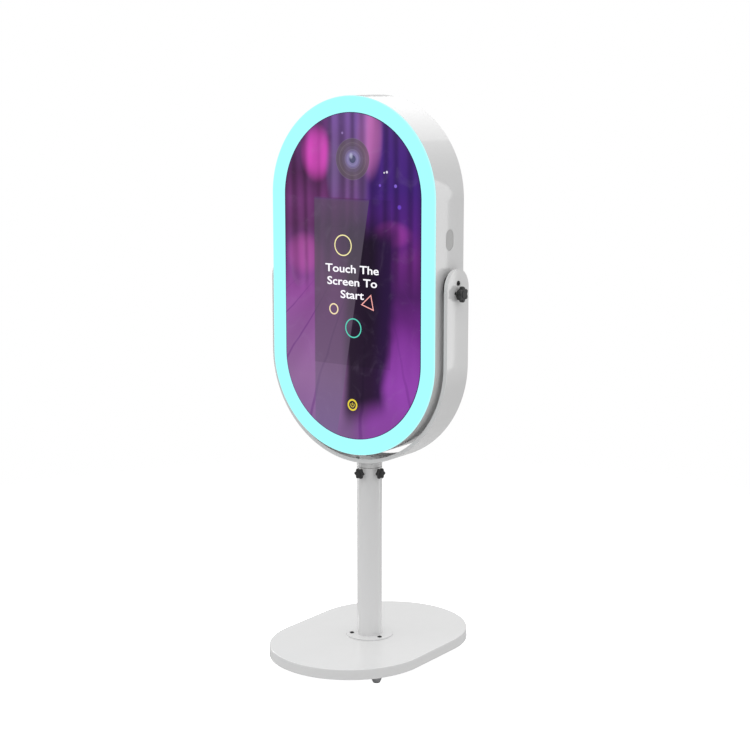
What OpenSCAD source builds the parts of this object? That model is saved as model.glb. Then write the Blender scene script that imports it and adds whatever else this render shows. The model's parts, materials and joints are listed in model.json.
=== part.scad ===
// Free-standing mirror photo booth: an oval display head that tilts in a U-shaped yoke,
// on a round pole with a weighted oval base.
// Origin: on the floor under the pole axis. +Z up, the mirror faces -Y, +X is to its right.

/* [Base] */
// Width of the base, across the mirror's turning front at rest
base_w = 465; // [400:5:560]
// Length of the base, front to back at rest
base_len = 660; // [560:5:800]
// Height of the base between its underside and its top
base_h = 30; // [28:1:45]
// Sheet thickness of the base cover
cover_t = 2; // [1.5:0.5:3]
// Thickness of the base's bottom plate
plate_t = 3; // [2:0.5:5]
// How far the bottom plate stands out around the cover
plate_rim = 1; // [0:0.5:2]
// Thickness of the ballast plate
ballast_t = 15; // [8:1:16]
// Margin between the ballast plate and the base's edge
ballast_margin = 82; // [75:1:100]
// Height of the base's underside above the floor
foot_h = 28; // [25:1:40]
// Distance of each foot's centre from the base's long edge
foot_inset = 70; // [50:1:85]
// Distance of each foot's centre from the base's round end
foot_end_inset = 137; // [120:1:170]
// Radius of a foot where it meets the floor
foot_r = 10; // [8:0.5:14]
// Radius of a foot at its widest
foot_top_r = 15; // [12:0.5:18]
// Height of the moulded glide of a foot
glide_h = 18; // [14:1:18]
// Radius of a foot's stud
foot_stud_r = 5; // [4:0.5:6]
// Number of screws that hold the bottom plate
base_screws_n = 6; // [4:1:8]

/* [Pole] */
// Outer radius of the pole
pole_r = 36.5; // [32:0.5:42]
// Wall of the pole
pole_t = 2.5; // [2:0.5:3]
// Length of the pole above its foot flange
pole_len = 502.5; // [350:2.5:800]
// Radius of the pole's foot flange
flange_r = 69; // [64:1:80]
// Thickness of the pole's foot flange
flange_t = 3.5; // [3:0.5:6]
// Radius of the circle of flange screws
flange_screw_circle = 52; // [50:1:56]
// Number of flange screws
flange_screws_n = 3; // [3:1:6]
// Radius of the turned spigot that turns in the pole
spigot_r = 30; // [26:0.5:31]
// Wall of the spigot
spigot_t = 6; // [4:0.5:8]
// Length of the spigot inside the pole
spigot_len = 134; // [100:1:160]
// Length of the nylon bush in the pole
bush_len = 124; // [80:1:150]
// Thickness of the thrust washer on the pole's rim
thrust_t = 1; // [0.5:0.5:2]
// Height of the collar between the pole and the yoke
collar_h = 13; // [8:1:20]
// Height of the saddle under the yoke, at its middle
saddle_h = 7.5; // [6:0.5:12]
// Radius of the saddle under the yoke
saddle_r = 45; // [42:1:50]
// Distance of the clamp knobs below the pole's rim
clamp_drop = 14; // [13:1:25]
// Compass angles of the two clamp knobs, from the front towards +X
clamp_angles = [0, 75];
// Height of the threaded boss under each clamp knob
clamp_boss_h = 4; // [3:0.5:8]

/* [Yoke] */
// Width of the yoke's band
yoke_w = 107; // [100:1:120]
// Sheet thickness of the yoke
yoke_t = 2.5; // [2:0.5:3]
// Depth of the yoke's folded lips, inside the sheet
yoke_lip = 8.5; // [6:0.5:10]
// Gap between the head's side and the yoke's lips
side_gap = 13.5; // [12:0.5:20]
// Gap between the head's lowest point and the yoke's lips
under_gap = 16.5; // [15:0.5:25]
// How far the yoke's middle lies in front of the pole's axis
yoke_forward = 8; // [0:1:8]
// Distance of the arms' round ends' centre below the tilt axis
arm_end_drop = 15; // [10:1:20]
// Distance of the tilt clamp below the tilt axis
clamp_arm = 30; // [28:1:34]
// Tilt of the head either way, in degrees
tilt_limit = 25; // [10:1:30]

/* [Head] */
// Height of the head
head_h = 1010; // [950:5:1200]
// Width of the head
head_w = 560; // [520:5:660]
// Depth of the head
head_d = 143; // [140:1:180]
// How far the head's middle lies in front of the pole's axis
head_forward = 15; // [8:1:20]
// Sheet thickness of the head's shell
shell_t = 2; // [1.5:0.5:3]
// Width of the glowing ring
ring_w = 45; // [35:1:60]
// Thickness of the mirror and of the ring's diffuser
glass_t = 4; // [3:0.5:6]
// How far the diffuser's edge stands in from the shell's outside
diffuser_inset = 0.5; // [0:0.25:1.5]
// Depth of the light channel behind the ring
channel_d = 18; // [14:1:24]
// Sheet thickness of the light channel
channel_t = 1.2; // [1:0.1:2]
// Width of the lamp strip
strip_w = 10; // [8:1:12]
// Lamps along each straight side
side_lamps = 13; // [7:2:19]
// Lamps along each round end
end_lamps = 24; // [16:2:32]
// Radius of the tilt hubs
hub_r = 38; // [36:1:40]
// Distance of the hubs' middle below the tilt axis
hub_drop = 12; // [10:1:14]
// Radius of the tilt pivot
pivot_r = 5; // [4:0.5:6]
// Thickness of the friction washer on each hub
friction_t = 1; // [0.5:0.5:1.5]
// Width of the oval plug in each side
plug_w = 38; // [30:1:44]
// Height of the oval plug in each side
plug_h = 58; // [50:1:70]
// Height of the plugs above the tilt axis
plug_up = 117; // [105:1:140]

/* [Display] */
// Width of the display module
lcd_w = 292; // [260:1:330]
// Height of the display module
lcd_h = 500; // [450:1:560]
// Thickness of the display module
lcd_t = 11.5; // [9:0.5:14]
// Distance of the display's middle below the tilt axis
lcd_drop = 13; // [0:1:20]
// Thickness of the touch film
film_t = 1; // [0.5:0.5:1]

/* [Camera] */
// Height of the lens above the tilt axis
lens_up = 334; // [325:1:340]
// Distance of the lens to the right of the middle
lens_side = 5; // [0:1:10]
// Outer radius of the lens barrel
lens_r = 33; // [28:0.5:36]
// Length of the lens barrel
lens_len = 50; // [40:1:55]
// Outer radius of the dark shroud around the lens
shroud_r = 57.5; // [50:0.5:60]
// Width, depth and height of the camera body
camera_size = [124, 50, 96];

/* [Back] */
// Width of the service door's opening
door_w = 300; // [260:5:320]
// Height of the service door's opening
door_h = 520; // [450:5:560]
// Height of the door's middle above the tilt axis
door_up = 10; // [0:1:20]
// Depth of the folded rims of the door and its frame
rim_d = 6; // [4:1:8]
// Side of the square cooling fan
fan_w = 80; // [80:1:92]
// Depth of the cooling fan
fan_d = 25; // [20:1:25]
// Height of the fan's axis above the tilt axis
fan_up = 375; // [355:1:390]
// Number of fan blades
fan_blades = 7; // [5:1:11]
// Radius of each loudspeaker
speaker_r = 40; // [30:1:44]
// Distance of each loudspeaker from the middle
speaker_side = 120; // [100:1:130]
// Distance of the loudspeakers below the tilt axis
speaker_drop = 330; // [320:1:340]
// Distance of the mains inlet plate below the tilt axis
inlet_drop = 405; // [400:1:415]

/* [Knobs] */
// Width over the lobes of a tilt knob
tilt_knob_d = 44; // [38:1:44]
// Width over the lobes of a pole knob
pole_knob_d = 32; // [26:1:34]
// Number of lobes on a knob
knob_lobes = 6; // [5:1:8]
// Radius of a knob's stud
stud_r = 4; // [3:0.5:4]

/* [Clearances] */
// Radial clearance of turning fits
run_gap = 0.05; // [0.02:0.01:0.1]
// Gap between faces that slide past each other
face_gap = 0.05; // [0.02:0.01:0.2]
// Gap around the service door
door_gap = 1.5; // [1:0.25:3]
// Gap around pieces that drop into an opening
drop_gap = 0.3; // [0.1:0.1:0.5]
// Clearance around screws that pass through a hole
screw_gap = 0.4; // [0.2:0.1:0.8]

/* [Hidden] */

$fn = 96;
eps = 0.01;
cut = 1;                                      // how far a cutting shape runs past a face

// base
plate_top = foot_h + plate_t;
base_top = foot_h + base_h;
cover_in = base_top - cover_t;                // underside of the cover's top sheet
ballast_top = plate_top + ballast_t;
ballast_w = base_w - 2 * ballast_margin;
ballast_len = base_len - 2 * ballast_margin;
anchor_r = flange_r + 6;
foot_x = base_w / 2 - foot_inset;
foot_y = base_len / 2 - foot_end_inset;
foot_boss_r = foot_stud_r + 5;
foot_boss_h = 8;
foot_travel = 7;
foot_stud_top = plate_top + foot_boss_h + 2;
base_screw_r = 2.5;
base_lug_r = 7;
base_lug_inset = 14;                          // from the cover's outside to the lug's middle

// pole
flange_top = base_top + flange_t;
pole_top = flange_top + pole_len;
pole_in = pole_r - pole_t;
flange_screw_r = 4;
flange_screw_turn = 100;
clamp_z = pole_top - clamp_drop;
clamp_boss_r = stud_r + 4;
clamp_face = pole_r + clamp_boss_h;           // distance of the boss's face from the pole's axis
thrust_top = pole_top + thrust_t;
collar_bottom = thrust_top + face_gap;
saddle_bottom = collar_bottom + collar_h;
yoke_bottom = saddle_bottom + saddle_h;

// yoke
yoke_r = head_w / 2 + side_gap + yoke_lip + yoke_t;
web_in = yoke_r - yoke_t;                     // radius of the inside of the yoke's sheet
lip_in = web_in - yoke_lip;                   // radius of the lips' free edge
yoke_y = -yoke_forward;
arc_z = yoke_bottom + yoke_r;                 // centre of the yoke's lower arc
yoke_screw_r = 3;
yoke_screw_x = 24;
yoke_screw_y = 24;

// head
head_y = -head_forward;
head_z = yoke_bottom + yoke_t + yoke_lip + under_gap + head_h / 2;
pivot_y = yoke_y - head_y;                    // tilt axis, from the head's middle
arm_end_z = head_z - arm_end_drop;
front = -head_d / 2;                          // faces from here on are from the head's middle
back = head_d / 2;
mirror_back = front + glass_t;
shell_in = back - shell_t;
mirror_w = head_w - 2 * ring_w;
mirror_h = head_h - 2 * ring_w;
straight = (head_h - head_w) / 2;             // half of the straight stretch of each side
channel_w = head_w - 2 * shell_t - 2 * drop_gap;
channel_back = mirror_back + channel_d;
channel_wall = mirror_w - 2;                  // width over the channel's inner wall
mirror_ledge = 15;                            // how far the channel's flange reaches behind the mirror
strip_mid_w = head_w - ring_w - shell_t;      // width of the oval that the lamps follow
lamp = 5;
lamp_t = 1.5;

// tilt joint
side_x = head_w / 2;
hub_x = web_in - friction_t - face_gap;       // outer face of each hub
hub_screw_r = 2.5;
hub_screw_circle = 28;
hub_screw_angles = [30, 150, 210, 330];
pivot_plate_t = 5;
pivot_thread_r = pivot_r - 1;
tilt_slot_w = 2 * (stud_r + screw_gap);
knob_washer_t = 1.5;

// display and chassis
film_back = mirror_back + film_t;
lcd_front = film_back + 0.5;
lcd_back = lcd_front + lcd_t;
chassis_front = channel_back + 2;
bar_d = 10;
bar_h = 22;
rail_x = lcd_w / 2 + 59;
rail_w = 20;
rail_d = 30;
sheet_t = 2;
middle_bar_up = 38;
bar_zs = [lcd_h / 2 - lcd_drop + 14, middle_bar_up, -lcd_h / 2 - lcd_drop - 8];
tray_front = chassis_front + bar_d;
tray_back = tray_front + sheet_t;
tray_w = door_w - 20;
box_d = 40;                                   // depth of the computer and the power supply
spacer_r = 6;

// camera
lens_front = mirror_back + 4;
lens_back = lens_front + lens_len;
camera_shelf = lens_up - camera_size.z / 2;
shelf_t = 3;
shroud_d = 34;

// back
hinge_x = door_w / 2 + 2;
knuckle_r = 3.5;
hinge_pin_r = 1.5;
hinge_y = back + knuckle_r + 0.2;
leaf_w = 26;
leaf_h = 60;
leaf_t = 1.5;
leaf_clear = 4;                               // leaves stay this far from the other leaf's knuckle
hinge_zs = [door_up - door_h * 0.35, door_up + door_h * 0.35];
lock_x = -door_w / 2 + 22;
lock_r = 8;
lock_head_r = 10.5;
cam_reach = 36;
cam_t = 2;
cam_y = shell_in - rim_d - 0.2;               // face of the cam towards the frame's rim
door_corner = 14;
fan_z = fan_up;
fan_shaft_r = 1.5;
inlet_t = 2;
inlet_w = 120;
inlet_h = 56;
socket_x = -26;
rocker_x = 30;
rocker_half = 8.6;
rocker_tilt = 8;
rocker_pin_r = 1.2;
rocker_axis = back - 1.5;

// ---- shared shapes ----

// Upright oval in the plane, w wide and h high
module oval(w, h) {
    union() {
        square([w, h - w], center = true);
        for (s = [-1, 1]) translate([0, s * (h - w) / 2]) circle(d = w);
    }
}

// Oval of the head's family: the same arc centres, w wide
module head_oval(w) {
    oval(w, w + 2 * straight);
}

// Rectangle with round corners
module round_rect(w, h, r) {
    union() {
        square([w - 2 * r, h], center = true);
        square([w, h - 2 * r], center = true);
        for (x = [-1, 1], y = [-1, 1]) translate([x * (w / 2 - r), y * (h / 2 - r)]) circle(r);
    }
}

// Extrudes an x-z outline from y0 to y1
module along_y(y0, y1) {
    translate([0, y1, 0]) rotate([90, 0, 0]) linear_extrude(y1 - y0) children();
}

// Extrudes a y-z outline from x0 to x1
module along_x(x0, x1) {
    translate([x0, 0, 0]) rotate([90, 0, 90]) linear_extrude(x1 - x0) children();
}

module block(x, y, z) {
    translate([x[0], y[0], z[0]]) cube([x[1] - x[0], y[1] - y[0], z[1] - z[0]]);
}

module rod_y(y0, y1, r, x = 0, z = 0) {
    translate([x, y0, z]) rotate([-90, 0, 0]) cylinder(h = y1 - y0, r = r);
}

module rod_x(x0, x1, r, y = 0, z = 0) {
    translate([x0, y, z]) rotate([0, 90, 0]) cylinder(h = x1 - x0, r = r);
}

module both_sides() {
    children();
    mirror([1, 0, 0]) children();
}

module at_head() {
    translate([0, head_y, head_z]) children();
}

// Frame whose +Z points out of the pole at a clamp knob; z is the distance from the pole's axis
module at_pole_clamp(angle) {
    translate([0, 0, clamp_z]) rotate([90, 0, angle]) children();
}

// Frame whose +Z points out of the yoke's arm at the tilt clamp, with z = 0 on the arm's face
module at_tilt_clamp(side) {
    translate([side * yoke_r, yoke_y, head_z - clamp_arm]) rotate([0, side * 90, 0]) children();
}

module washer(r_out, r_in, t) {
    difference() {
        cylinder(h = t, r = r_out);
        translate([0, 0, -cut]) cylinder(h = t + 2 * cut, r = r_in);
    }
}

// Star grip on a stud; z = 0 is the face that bears on the washer
module star_knob(d, neck, grip, stud_len) {
    translate([0, 0, -stud_len]) cylinder(h = stud_len + neck, r = stud_r);
    cylinder(h = neck, r = 0.3 * d);
    translate([0, 0, neck]) linear_extrude(grip) difference() {
        circle(d = d);
        for (i = [0:knob_lobes - 1])
            rotate((i + 0.5) * 360 / knob_lobes) translate([0.58 * d, 0]) circle(r = 0.19 * d);
    }
    translate([0, 0, neck + grip - eps]) cylinder(h = 1.5, r = 0.24 * d);
}

// Button-head screw; z = 0 is the seat of its head
module button_screw(r, len, head_r, head_h) {
    difference() {
        union() {
            translate([0, 0, -len]) cylinder(h = len + eps, r = r);
            cylinder(h = head_h, r = head_r);
        }
        translate([0, 0, head_h * 0.4]) cylinder(h = head_h, r = 0.45 * head_r, $fn = 6);
    }
}

// ---- base ----

module base_oval(margin = 0) {
    oval(base_w - 2 * margin, base_len - 2 * margin);
}

module at_feet() {
    for (x = [-1, 1], y = [-1, 1]) translate([x * foot_x, y * foot_y, 0]) children();
}

// Places of the bottom plate's screws, on an oval inside the cover
module at_base_screws() {
    r = base_w / 2 - base_lug_inset;
    run = (base_len - base_w) / 2;
    for (i = [0:base_screws_n - 1]) {
        a = 90 + (i + 0.5) * 360 / base_screws_n;
        translate([r * cos(a), r * sin(a) + sign(sin(a)) * run, 0]) children();
    }
}

module base_cover() color("gainsboro") difference() {
    union() {
        difference() {
            translate([0, 0, plate_top]) linear_extrude(base_top - plate_top) base_oval();
            translate([0, 0, plate_top - cut])
                linear_extrude(cover_in - plate_top + cut) base_oval(cover_t);
        }
        at_base_screws() translate([0, 0, plate_top])
            cylinder(h = cover_in - plate_top + eps, r = base_lug_r);
    }
    at_base_screws() translate([0, 0, plate_top - cut])
        cylinder(h = base_h * 0.6, r = base_screw_r);
    at_flange_screws() cylinder(h = base_top + cut, r = flange_screw_r + screw_gap);
}

module base_plate() color("whitesmoke") difference() {
    union() {
        translate([0, 0, foot_h]) linear_extrude(plate_t) base_oval(-plate_rim);
        at_feet() translate([0, 0, plate_top - eps])
            cylinder(h = foot_boss_h + eps, r = foot_boss_r);
    }
    at_feet() translate([0, 0, foot_h - cut])
        cylinder(h = base_h, r = foot_stud_r + run_gap);
    at_base_screws() translate([0, 0, foot_h - cut]) {
        cylinder(h = base_h, r = base_screw_r + screw_gap);
        cylinder(h = plate_t / 2 + cut, r = 2 * base_screw_r + screw_gap);
    }
}

module ballast_plate() color("dimgray") translate([0, 0, plate_top])
    linear_extrude(ballast_t) oval(ballast_w, ballast_len);

module pole_anchor() color("dimgray") difference() {
    translate([0, 0, ballast_top]) cylinder(h = cover_in - ballast_top, r = anchor_r);
    at_flange_screws() cylinder(h = base_top, r = flange_screw_r);
}

module base_screws() color("black") at_base_screws()
    translate([0, 0, foot_h + plate_t / 2]) mirror([0, 0, 1])
        button_screw(base_screw_r, base_h * 0.4, 2 * base_screw_r, plate_t / 2 - eps);

module foot(x, y) color("dimgray") translate([x * foot_x, y * foot_y, 0]) {
    rotate_extrude() polygon([
        [0, 0], [foot_r - 1, 0], [foot_r, 1], [foot_top_r, glide_h * 0.7],
        [foot_top_r, glide_h * 0.9], [foot_top_r - 2, glide_h], [0, glide_h]
    ]);
    translate([0, 0, glide_h - eps]) cylinder(h = foot_stud_top - glide_h, r = foot_stud_r);
}

module foot_front_left() foot(-1, -1);
module foot_front_right() foot(1, -1);
module foot_rear_left() foot(-1, 1);
module foot_rear_right() foot(1, 1);

// ---- pole ----

module at_flange_screws() {
    for (i = [0:flange_screws_n - 1])
        rotate(flange_screw_turn + i * 360 / flange_screws_n)
            translate([flange_screw_circle, 0, 0]) children();
}

module pole_flange() color("gainsboro") difference() {
    translate([0, 0, base_top]) cylinder(h = flange_t, r = flange_r);
    at_flange_screws() cylinder(h = flange_top + cut, r = flange_screw_r + screw_gap);
}

module flange_screws() color("black") at_flange_screws() translate([0, 0, flange_top])
    button_screw(flange_screw_r, flange_top - ballast_top - cut, 1.6 * flange_screw_r, 3);

module pole_tube() color("lightgray") difference() {
    translate([0, 0, flange_top]) cylinder(h = pole_len, r = pole_r);
    translate([0, 0, flange_top - cut]) cylinder(h = pole_len + 2 * cut, r = pole_in);
    for (a = clamp_angles) at_pole_clamp(a) cylinder(h = 2 * pole_r, r = stud_r + screw_gap);
}

module clamp_bosses() color("lightgray") difference() {
    for (a = clamp_angles) at_pole_clamp(a)
        translate([0, 0, pole_in]) cylinder(h = clamp_face - pole_in, r = clamp_boss_r);
    cylinder(h = pole_top, r = pole_r);
    for (a = clamp_angles) at_pole_clamp(a) cylinder(h = 2 * pole_r, r = stud_r + run_gap);
}

module pole_bush() color("white") difference() {
    translate([0, 0, pole_top - bush_len]) cylinder(h = bush_len, r = pole_in);
    translate([0, 0, pole_top - bush_len - cut])
        cylinder(h = bush_len + 2 * cut, r = spigot_r + run_gap);
    for (a = clamp_angles) at_pole_clamp(a) cylinder(h = 2 * pole_r, r = stud_r + screw_gap);
}

module thrust_washer() color("dimgray") translate([0, 0, pole_top])
    washer(pole_r - drop_gap, spigot_r + run_gap, thrust_t);

module pole_knob(angle) color("black") at_pole_clamp(angle)
    translate([0, 0, clamp_face + knob_washer_t + 2 * face_gap])
        star_knob(pole_knob_d, 3, 9, clamp_face + knob_washer_t - spigot_r - 0.2);

module pole_knob_washer(angle) color("silver") at_pole_clamp(angle)
    translate([0, 0, clamp_face + face_gap]) washer(stud_r + 5, stud_r + run_gap, knob_washer_t);

module pole_knob_front() pole_knob(clamp_angles[0]);
module pole_knob_front_washer() pole_knob_washer(clamp_angles[0]);
module pole_knob_side() pole_knob(clamp_angles[1]);
module pole_knob_side_washer() pole_knob_washer(clamp_angles[1]);

// ---- yoke ----

// Places of the screws through the yoke's sheet into the saddle, square to the sheet;
// z = 0 is the inside of the sheet
module at_yoke_screws() {
    turn = asin(yoke_screw_x / web_in);
    for (s = [-1, 1], y = [-1, 1])
        translate([0, y * yoke_screw_y, arc_z]) rotate([0, -s * turn, 0])
            translate([0, 0, -web_in]) children();
}

module swivel_spigot() color("lightgray") difference() {
    rotate_extrude() polygon([
        [spigot_r - spigot_t, pole_top - spigot_len], [spigot_r - 1, pole_top - spigot_len],
        [spigot_r, pole_top - spigot_len + 1], [spigot_r, collar_bottom],
        [pole_r, collar_bottom], [pole_r, saddle_bottom], [saddle_r - 5, saddle_bottom],
        [saddle_r, saddle_bottom + saddle_h / 2], [saddle_r, yoke_bottom + saddle_h],
        [spigot_r - spigot_t, yoke_bottom + saddle_h]
    ]);
    rod_y(-2 * saddle_r, 2 * saddle_r, yoke_r, 0, arc_z);
    at_yoke_screws() translate([0, 0, -collar_h])
        cylinder(h = collar_h, r = yoke_screw_r);
}

// U outline between two radii about the lower arc's centre, with arms past the round ends
module yoke_outline(r_out, r_in) {
    rise = arm_end_z - arc_z + yoke_w / 2 + cut;
    difference() {
        union() {
            circle(r_out);
            translate([-r_out, 0]) square([2 * r_out, rise]);
        }
        circle(r_in);
        translate([-r_in, 0]) square([2 * r_in, yoke_r]);
        translate([-yoke_r, rise]) square(2 * yoke_r);
    }
}

// Side view of the yoke: a strip w wide with a round top
module arm_outline(w) {
    run = arm_end_z - yoke_bottom + cut;
    translate([yoke_y, arm_end_z]) union() {
        circle(d = w);
        translate([-w / 2, -run]) square([w, run]);
    }
}

// The yoke's band between two radii, w wide
module yoke_strip(w, r_out, r_in) {
    intersection() {
        translate([0, 0, arc_z]) along_y(yoke_y - w / 2, yoke_y + w / 2) yoke_outline(r_out, r_in);
        along_x(-yoke_r - cut, yoke_r + cut) arm_outline(w);
    }
}

module yoke_band() color("whitesmoke") difference() {
    yoke_strip(yoke_w, yoke_r, lip_in);
    yoke_strip(yoke_w - 2 * yoke_t, web_in, lip_in - cut);
    both_sides() translate([0, yoke_y, head_z]) {
        rod_x(web_in - cut, yoke_r + cut, pivot_r + run_gap);
        along_x(web_in - cut, yoke_r + cut) tilt_slot();
    }
    at_yoke_screws() translate([0, 0, -2 * yoke_t])
        cylinder(h = 3 * yoke_t, r = yoke_screw_r + screw_gap);
}

// Curved slot for the tilt clamp's stud, about the tilt axis
module tilt_slot() {
    reach = tilt_limit + asin(tilt_slot_w / 2 / clamp_arm) + 1;
    intersection() {
        difference() {
            circle(clamp_arm + tilt_slot_w / 2);
            circle(clamp_arm - tilt_slot_w / 2);
        }
        polygon([
            [0, 0],
            2 * clamp_arm * [-sin(reach), -cos(reach)],
            2 * clamp_arm * [sin(reach), -cos(reach)]
        ]);
    }
}

module yoke_screws() color("silver") at_yoke_screws() translate([0, 0, 0.1])
    button_screw(yoke_screw_r, yoke_t + saddle_h - cut, 5.5, 3);

// ---- tilt joint ----

module at_pivot() {
    translate([0, yoke_y, head_z]) children();
}

module at_hub_screws() {
    for (a = hub_screw_angles)
        translate([0, hub_screw_circle * cos(a), hub_screw_circle * sin(a) - hub_drop]) children();
}

module tilt_hubs() color("dimgray") at_pivot() both_sides() difference() {
    rod_x(side_x, hub_x, hub_r, 0, -hub_drop);
    rod_x(side_x + 3, hub_x + cut, pivot_thread_r);
    rod_x(side_x + 3, hub_x + cut, stud_r + run_gap, 0, -clamp_arm);
    at_hub_screws() rod_x(side_x - cut, side_x + 12, hub_screw_r);
}

module hub_screws() color("black") at_pivot() both_sides() at_hub_screws()
    translate([side_x - shell_t - pivot_plate_t, 0, 0]) rotate([0, -90, 0])
        button_screw(hub_screw_r, shell_t + pivot_plate_t + 11, 4.5, 2.5);

module tilt_pivot_screws() color("black") at_pivot() both_sides() union() {
    rod_x(side_x + 5, hub_x, pivot_thread_r);
    rod_x(hub_x, yoke_r + face_gap, pivot_r);
    translate([yoke_r + face_gap, 0, 0]) rotate([0, 90, 0]) difference() {
        cylinder(h = 4, r = 1.35 * pivot_r);
        translate([0, 0, 1.5]) cylinder(h = 4, r = 0.6 * pivot_r, $fn = 6);
    }
}

module tilt_washers() color("black") at_pivot() both_sides() difference() {
    rod_x(hub_x, hub_x + friction_t, hub_r - 1, 0, -hub_drop);
    rod_x(hub_x - cut, hub_x + friction_t + cut, pivot_r);
    rod_x(hub_x - cut, hub_x + friction_t + cut, stud_r + screw_gap, 0, -clamp_arm);
}

module pivot_plates() color("silver") at_pivot() both_sides() difference() {
    block([side_x - shell_t - pivot_plate_t, side_x - shell_t], [-hub_r, hub_r],
        [-hub_drop - hub_r, middle_bar_up + bar_h / 2 + 2]);
    at_hub_screws() rod_x(side_x - 20, side_x, hub_screw_r + screw_gap);
}

module tilt_knob(side) color("black") at_tilt_clamp(side)
    translate([0, 0, knob_washer_t + 2 * face_gap]) star_knob(tilt_knob_d, 5, 13, 16);

module tilt_knob_washer(side) color("silver") at_tilt_clamp(side)
    translate([0, 0, face_gap]) washer(3 * stud_r, stud_r + run_gap, knob_washer_t);

module tilt_knob_right() tilt_knob(1);
module tilt_knob_right_washer() tilt_knob_washer(1);
module tilt_knob_left() tilt_knob(-1);
module tilt_knob_left_washer() tilt_knob_washer(-1);

// ---- head shell ----

module vent_slots(w, slot, pitch, count) {
    for (i = [0:count - 1])
        translate([0, (i - (count - 1) / 2) * pitch]) rotate(90) oval(slot, w);
}

module housing_shell() color("whitesmoke") at_head() difference() {
    union() {
        difference() {
            along_y(mirror_back, back) head_oval(head_w);
            along_y(mirror_back - cut, shell_in) head_oval(head_w - 2 * shell_t);
        }
        translate([0, 0, door_up]) along_y(shell_in - rim_d, shell_in + eps)
            round_rect(door_w + 2 * shell_t, door_h + 2 * shell_t, door_corner + shell_t);
    }
    translate([0, 0, door_up]) along_y(shell_in - rim_d - cut, back + cut)
        round_rect(door_w, door_h, door_corner);
    rod_y(shell_in - cut, back + cut, fan_w / 2 - 3, 0, fan_z);
    both_sides() {
        translate([speaker_side, 0, -speaker_drop]) along_y(shell_in - cut, back + cut)
            vent_slots(speaker_r * 1.4, 4, 9, 7);
        translate([0, 0, plug_up]) along_x(side_x - shell_t - cut, side_x + cut)
            oval(plug_w, plug_h);
        translate([0, pivot_y, 0]) at_hub_screws()
            rod_x(side_x - 2 * shell_t, side_x + cut, hub_screw_r + screw_gap);
    }
    translate([0, 0, -inlet_drop]) along_y(shell_in - cut, back + cut)
        round_rect(inlet_w - 20, inlet_h - 20, 4);
}

module side_plugs() color("gainsboro") at_head() both_sides() translate([0, 0, plug_up]) {
    along_x(side_x - shell_t - 1.5, side_x - 0.8)
        oval(plug_w - 2 * drop_gap, plug_h - 2 * drop_gap);
    along_x(side_x - shell_t - 3, side_x - shell_t) oval(plug_w + 6, plug_h + 6);
}

// ---- ring light, mirror and display ----

module diffuser_ring() color("paleturquoise") at_head() along_y(front, mirror_back) difference() {
    head_oval(head_w - 2 * diffuser_inset);
    head_oval(mirror_w);
}

module light_channel() color("white") at_head() difference() {
    along_y(mirror_back, channel_back) head_oval(channel_w);
    along_y(mirror_back - cut, channel_back - channel_t) difference() {
        head_oval(channel_w - 2 * channel_t);
        head_oval(channel_wall);
    }
    along_y(mirror_back + channel_t, channel_back + cut) head_oval(channel_wall - 2 * channel_t);
    along_y(mirror_back - cut, mirror_back + 2 * channel_t) head_oval(mirror_w - 2 * mirror_ledge);
}

module led_strip() color("white") at_head() {
    board_front = channel_back - channel_t - 1;
    along_y(board_front, channel_back - channel_t) difference() {
        head_oval(strip_mid_w + strip_w);
        head_oval(strip_mid_w - strip_w);
    }
    for (s = [-1, 1]) {
        for (i = [0:side_lamps - 1])
            translate([s * strip_mid_w / 2, board_front,
                (i - (side_lamps - 1) / 2) * 2 * straight / side_lamps]) one_lamp();
        for (i = [0:end_lamps - 1])
            translate([0, board_front, s * straight])
                rotate([0, -s * (i + 0.5) * 180 / end_lamps, 0])
                    translate([strip_mid_w / 2, 0, 0]) one_lamp();
    }
}

module one_lamp() {
    translate([-lamp / 2, -lamp_t, -lamp / 2]) cube([lamp, lamp_t + eps, lamp]);
}

module mirror_glass() color("indigo") at_head() along_y(front, mirror_back)
    head_oval(mirror_w - 2 * drop_gap);

module touch_film() color("lightblue") at_head() translate([0, 0, -lcd_drop])
    along_y(mirror_back, film_back) square([lcd_w, lcd_h], center = true);

module lcd_panel() color("black") at_head() translate([0, 0, -lcd_drop]) difference() {
    along_y(lcd_front, lcd_back) square([lcd_w, lcd_h], center = true);
    along_y(lcd_front - cut, lcd_front + 1) square([lcd_w - 24, lcd_h - 24], center = true);
}

module chassis_frame() color("silver") at_head() {
    both_sides() block([rail_x - rail_w / 2, rail_x + rail_w / 2],
        [chassis_front, chassis_front + rail_d], [-300, 300]);
    for (z = bar_zs)
        block([-rail_x, rail_x], [chassis_front, tray_front], [z - bar_h / 2, z + bar_h / 2]);
    both_sides() block([rail_x, side_x - shell_t - pivot_plate_t],
        [chassis_front, chassis_front + rail_d],
        [bar_zs[1] - bar_h / 2, bar_zs[1] + bar_h / 2]);
    block([-tray_w / 2, tray_w / 2], [tray_front - eps, tray_back],
        [bar_zs[2] - bar_h / 2, bar_zs[0] + bar_h / 2]);
    for (x = [-1, 1], z = [bar_zs[0] - 16, bar_zs[2] + 16])
        rod_y(lcd_back, chassis_front + eps, spacer_r, x * lcd_w * 0.4, z);
    for (x = [-1, 1], z = [bar_zs[0] - 16, bar_zs[2] + 16])
        rod_y(chassis_front, tray_front, spacer_r, x * lcd_w * 0.4, z);
    block([-70, 70], [chassis_front, chassis_front + 82], [camera_shelf - shelf_t, camera_shelf]);
    for (x = [-64, 58])
        block([x, x + 6], [chassis_front, chassis_front + rail_d],
            [bar_zs[0], camera_shelf - shelf_t + eps]);
}

// ---- camera ----

module camera_shroud() color("black") at_head() difference() {
    rod_y(film_back, film_back + shroud_d, shroud_r, lens_side, lens_up);
    rod_y(film_back - cut, film_back + shroud_d + cut, shroud_r - 3, lens_side, lens_up);
    block([-shroud_r, shroud_r + lens_side], [front, back],
        [camera_shelf - 100, camera_shelf]);
}

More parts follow.
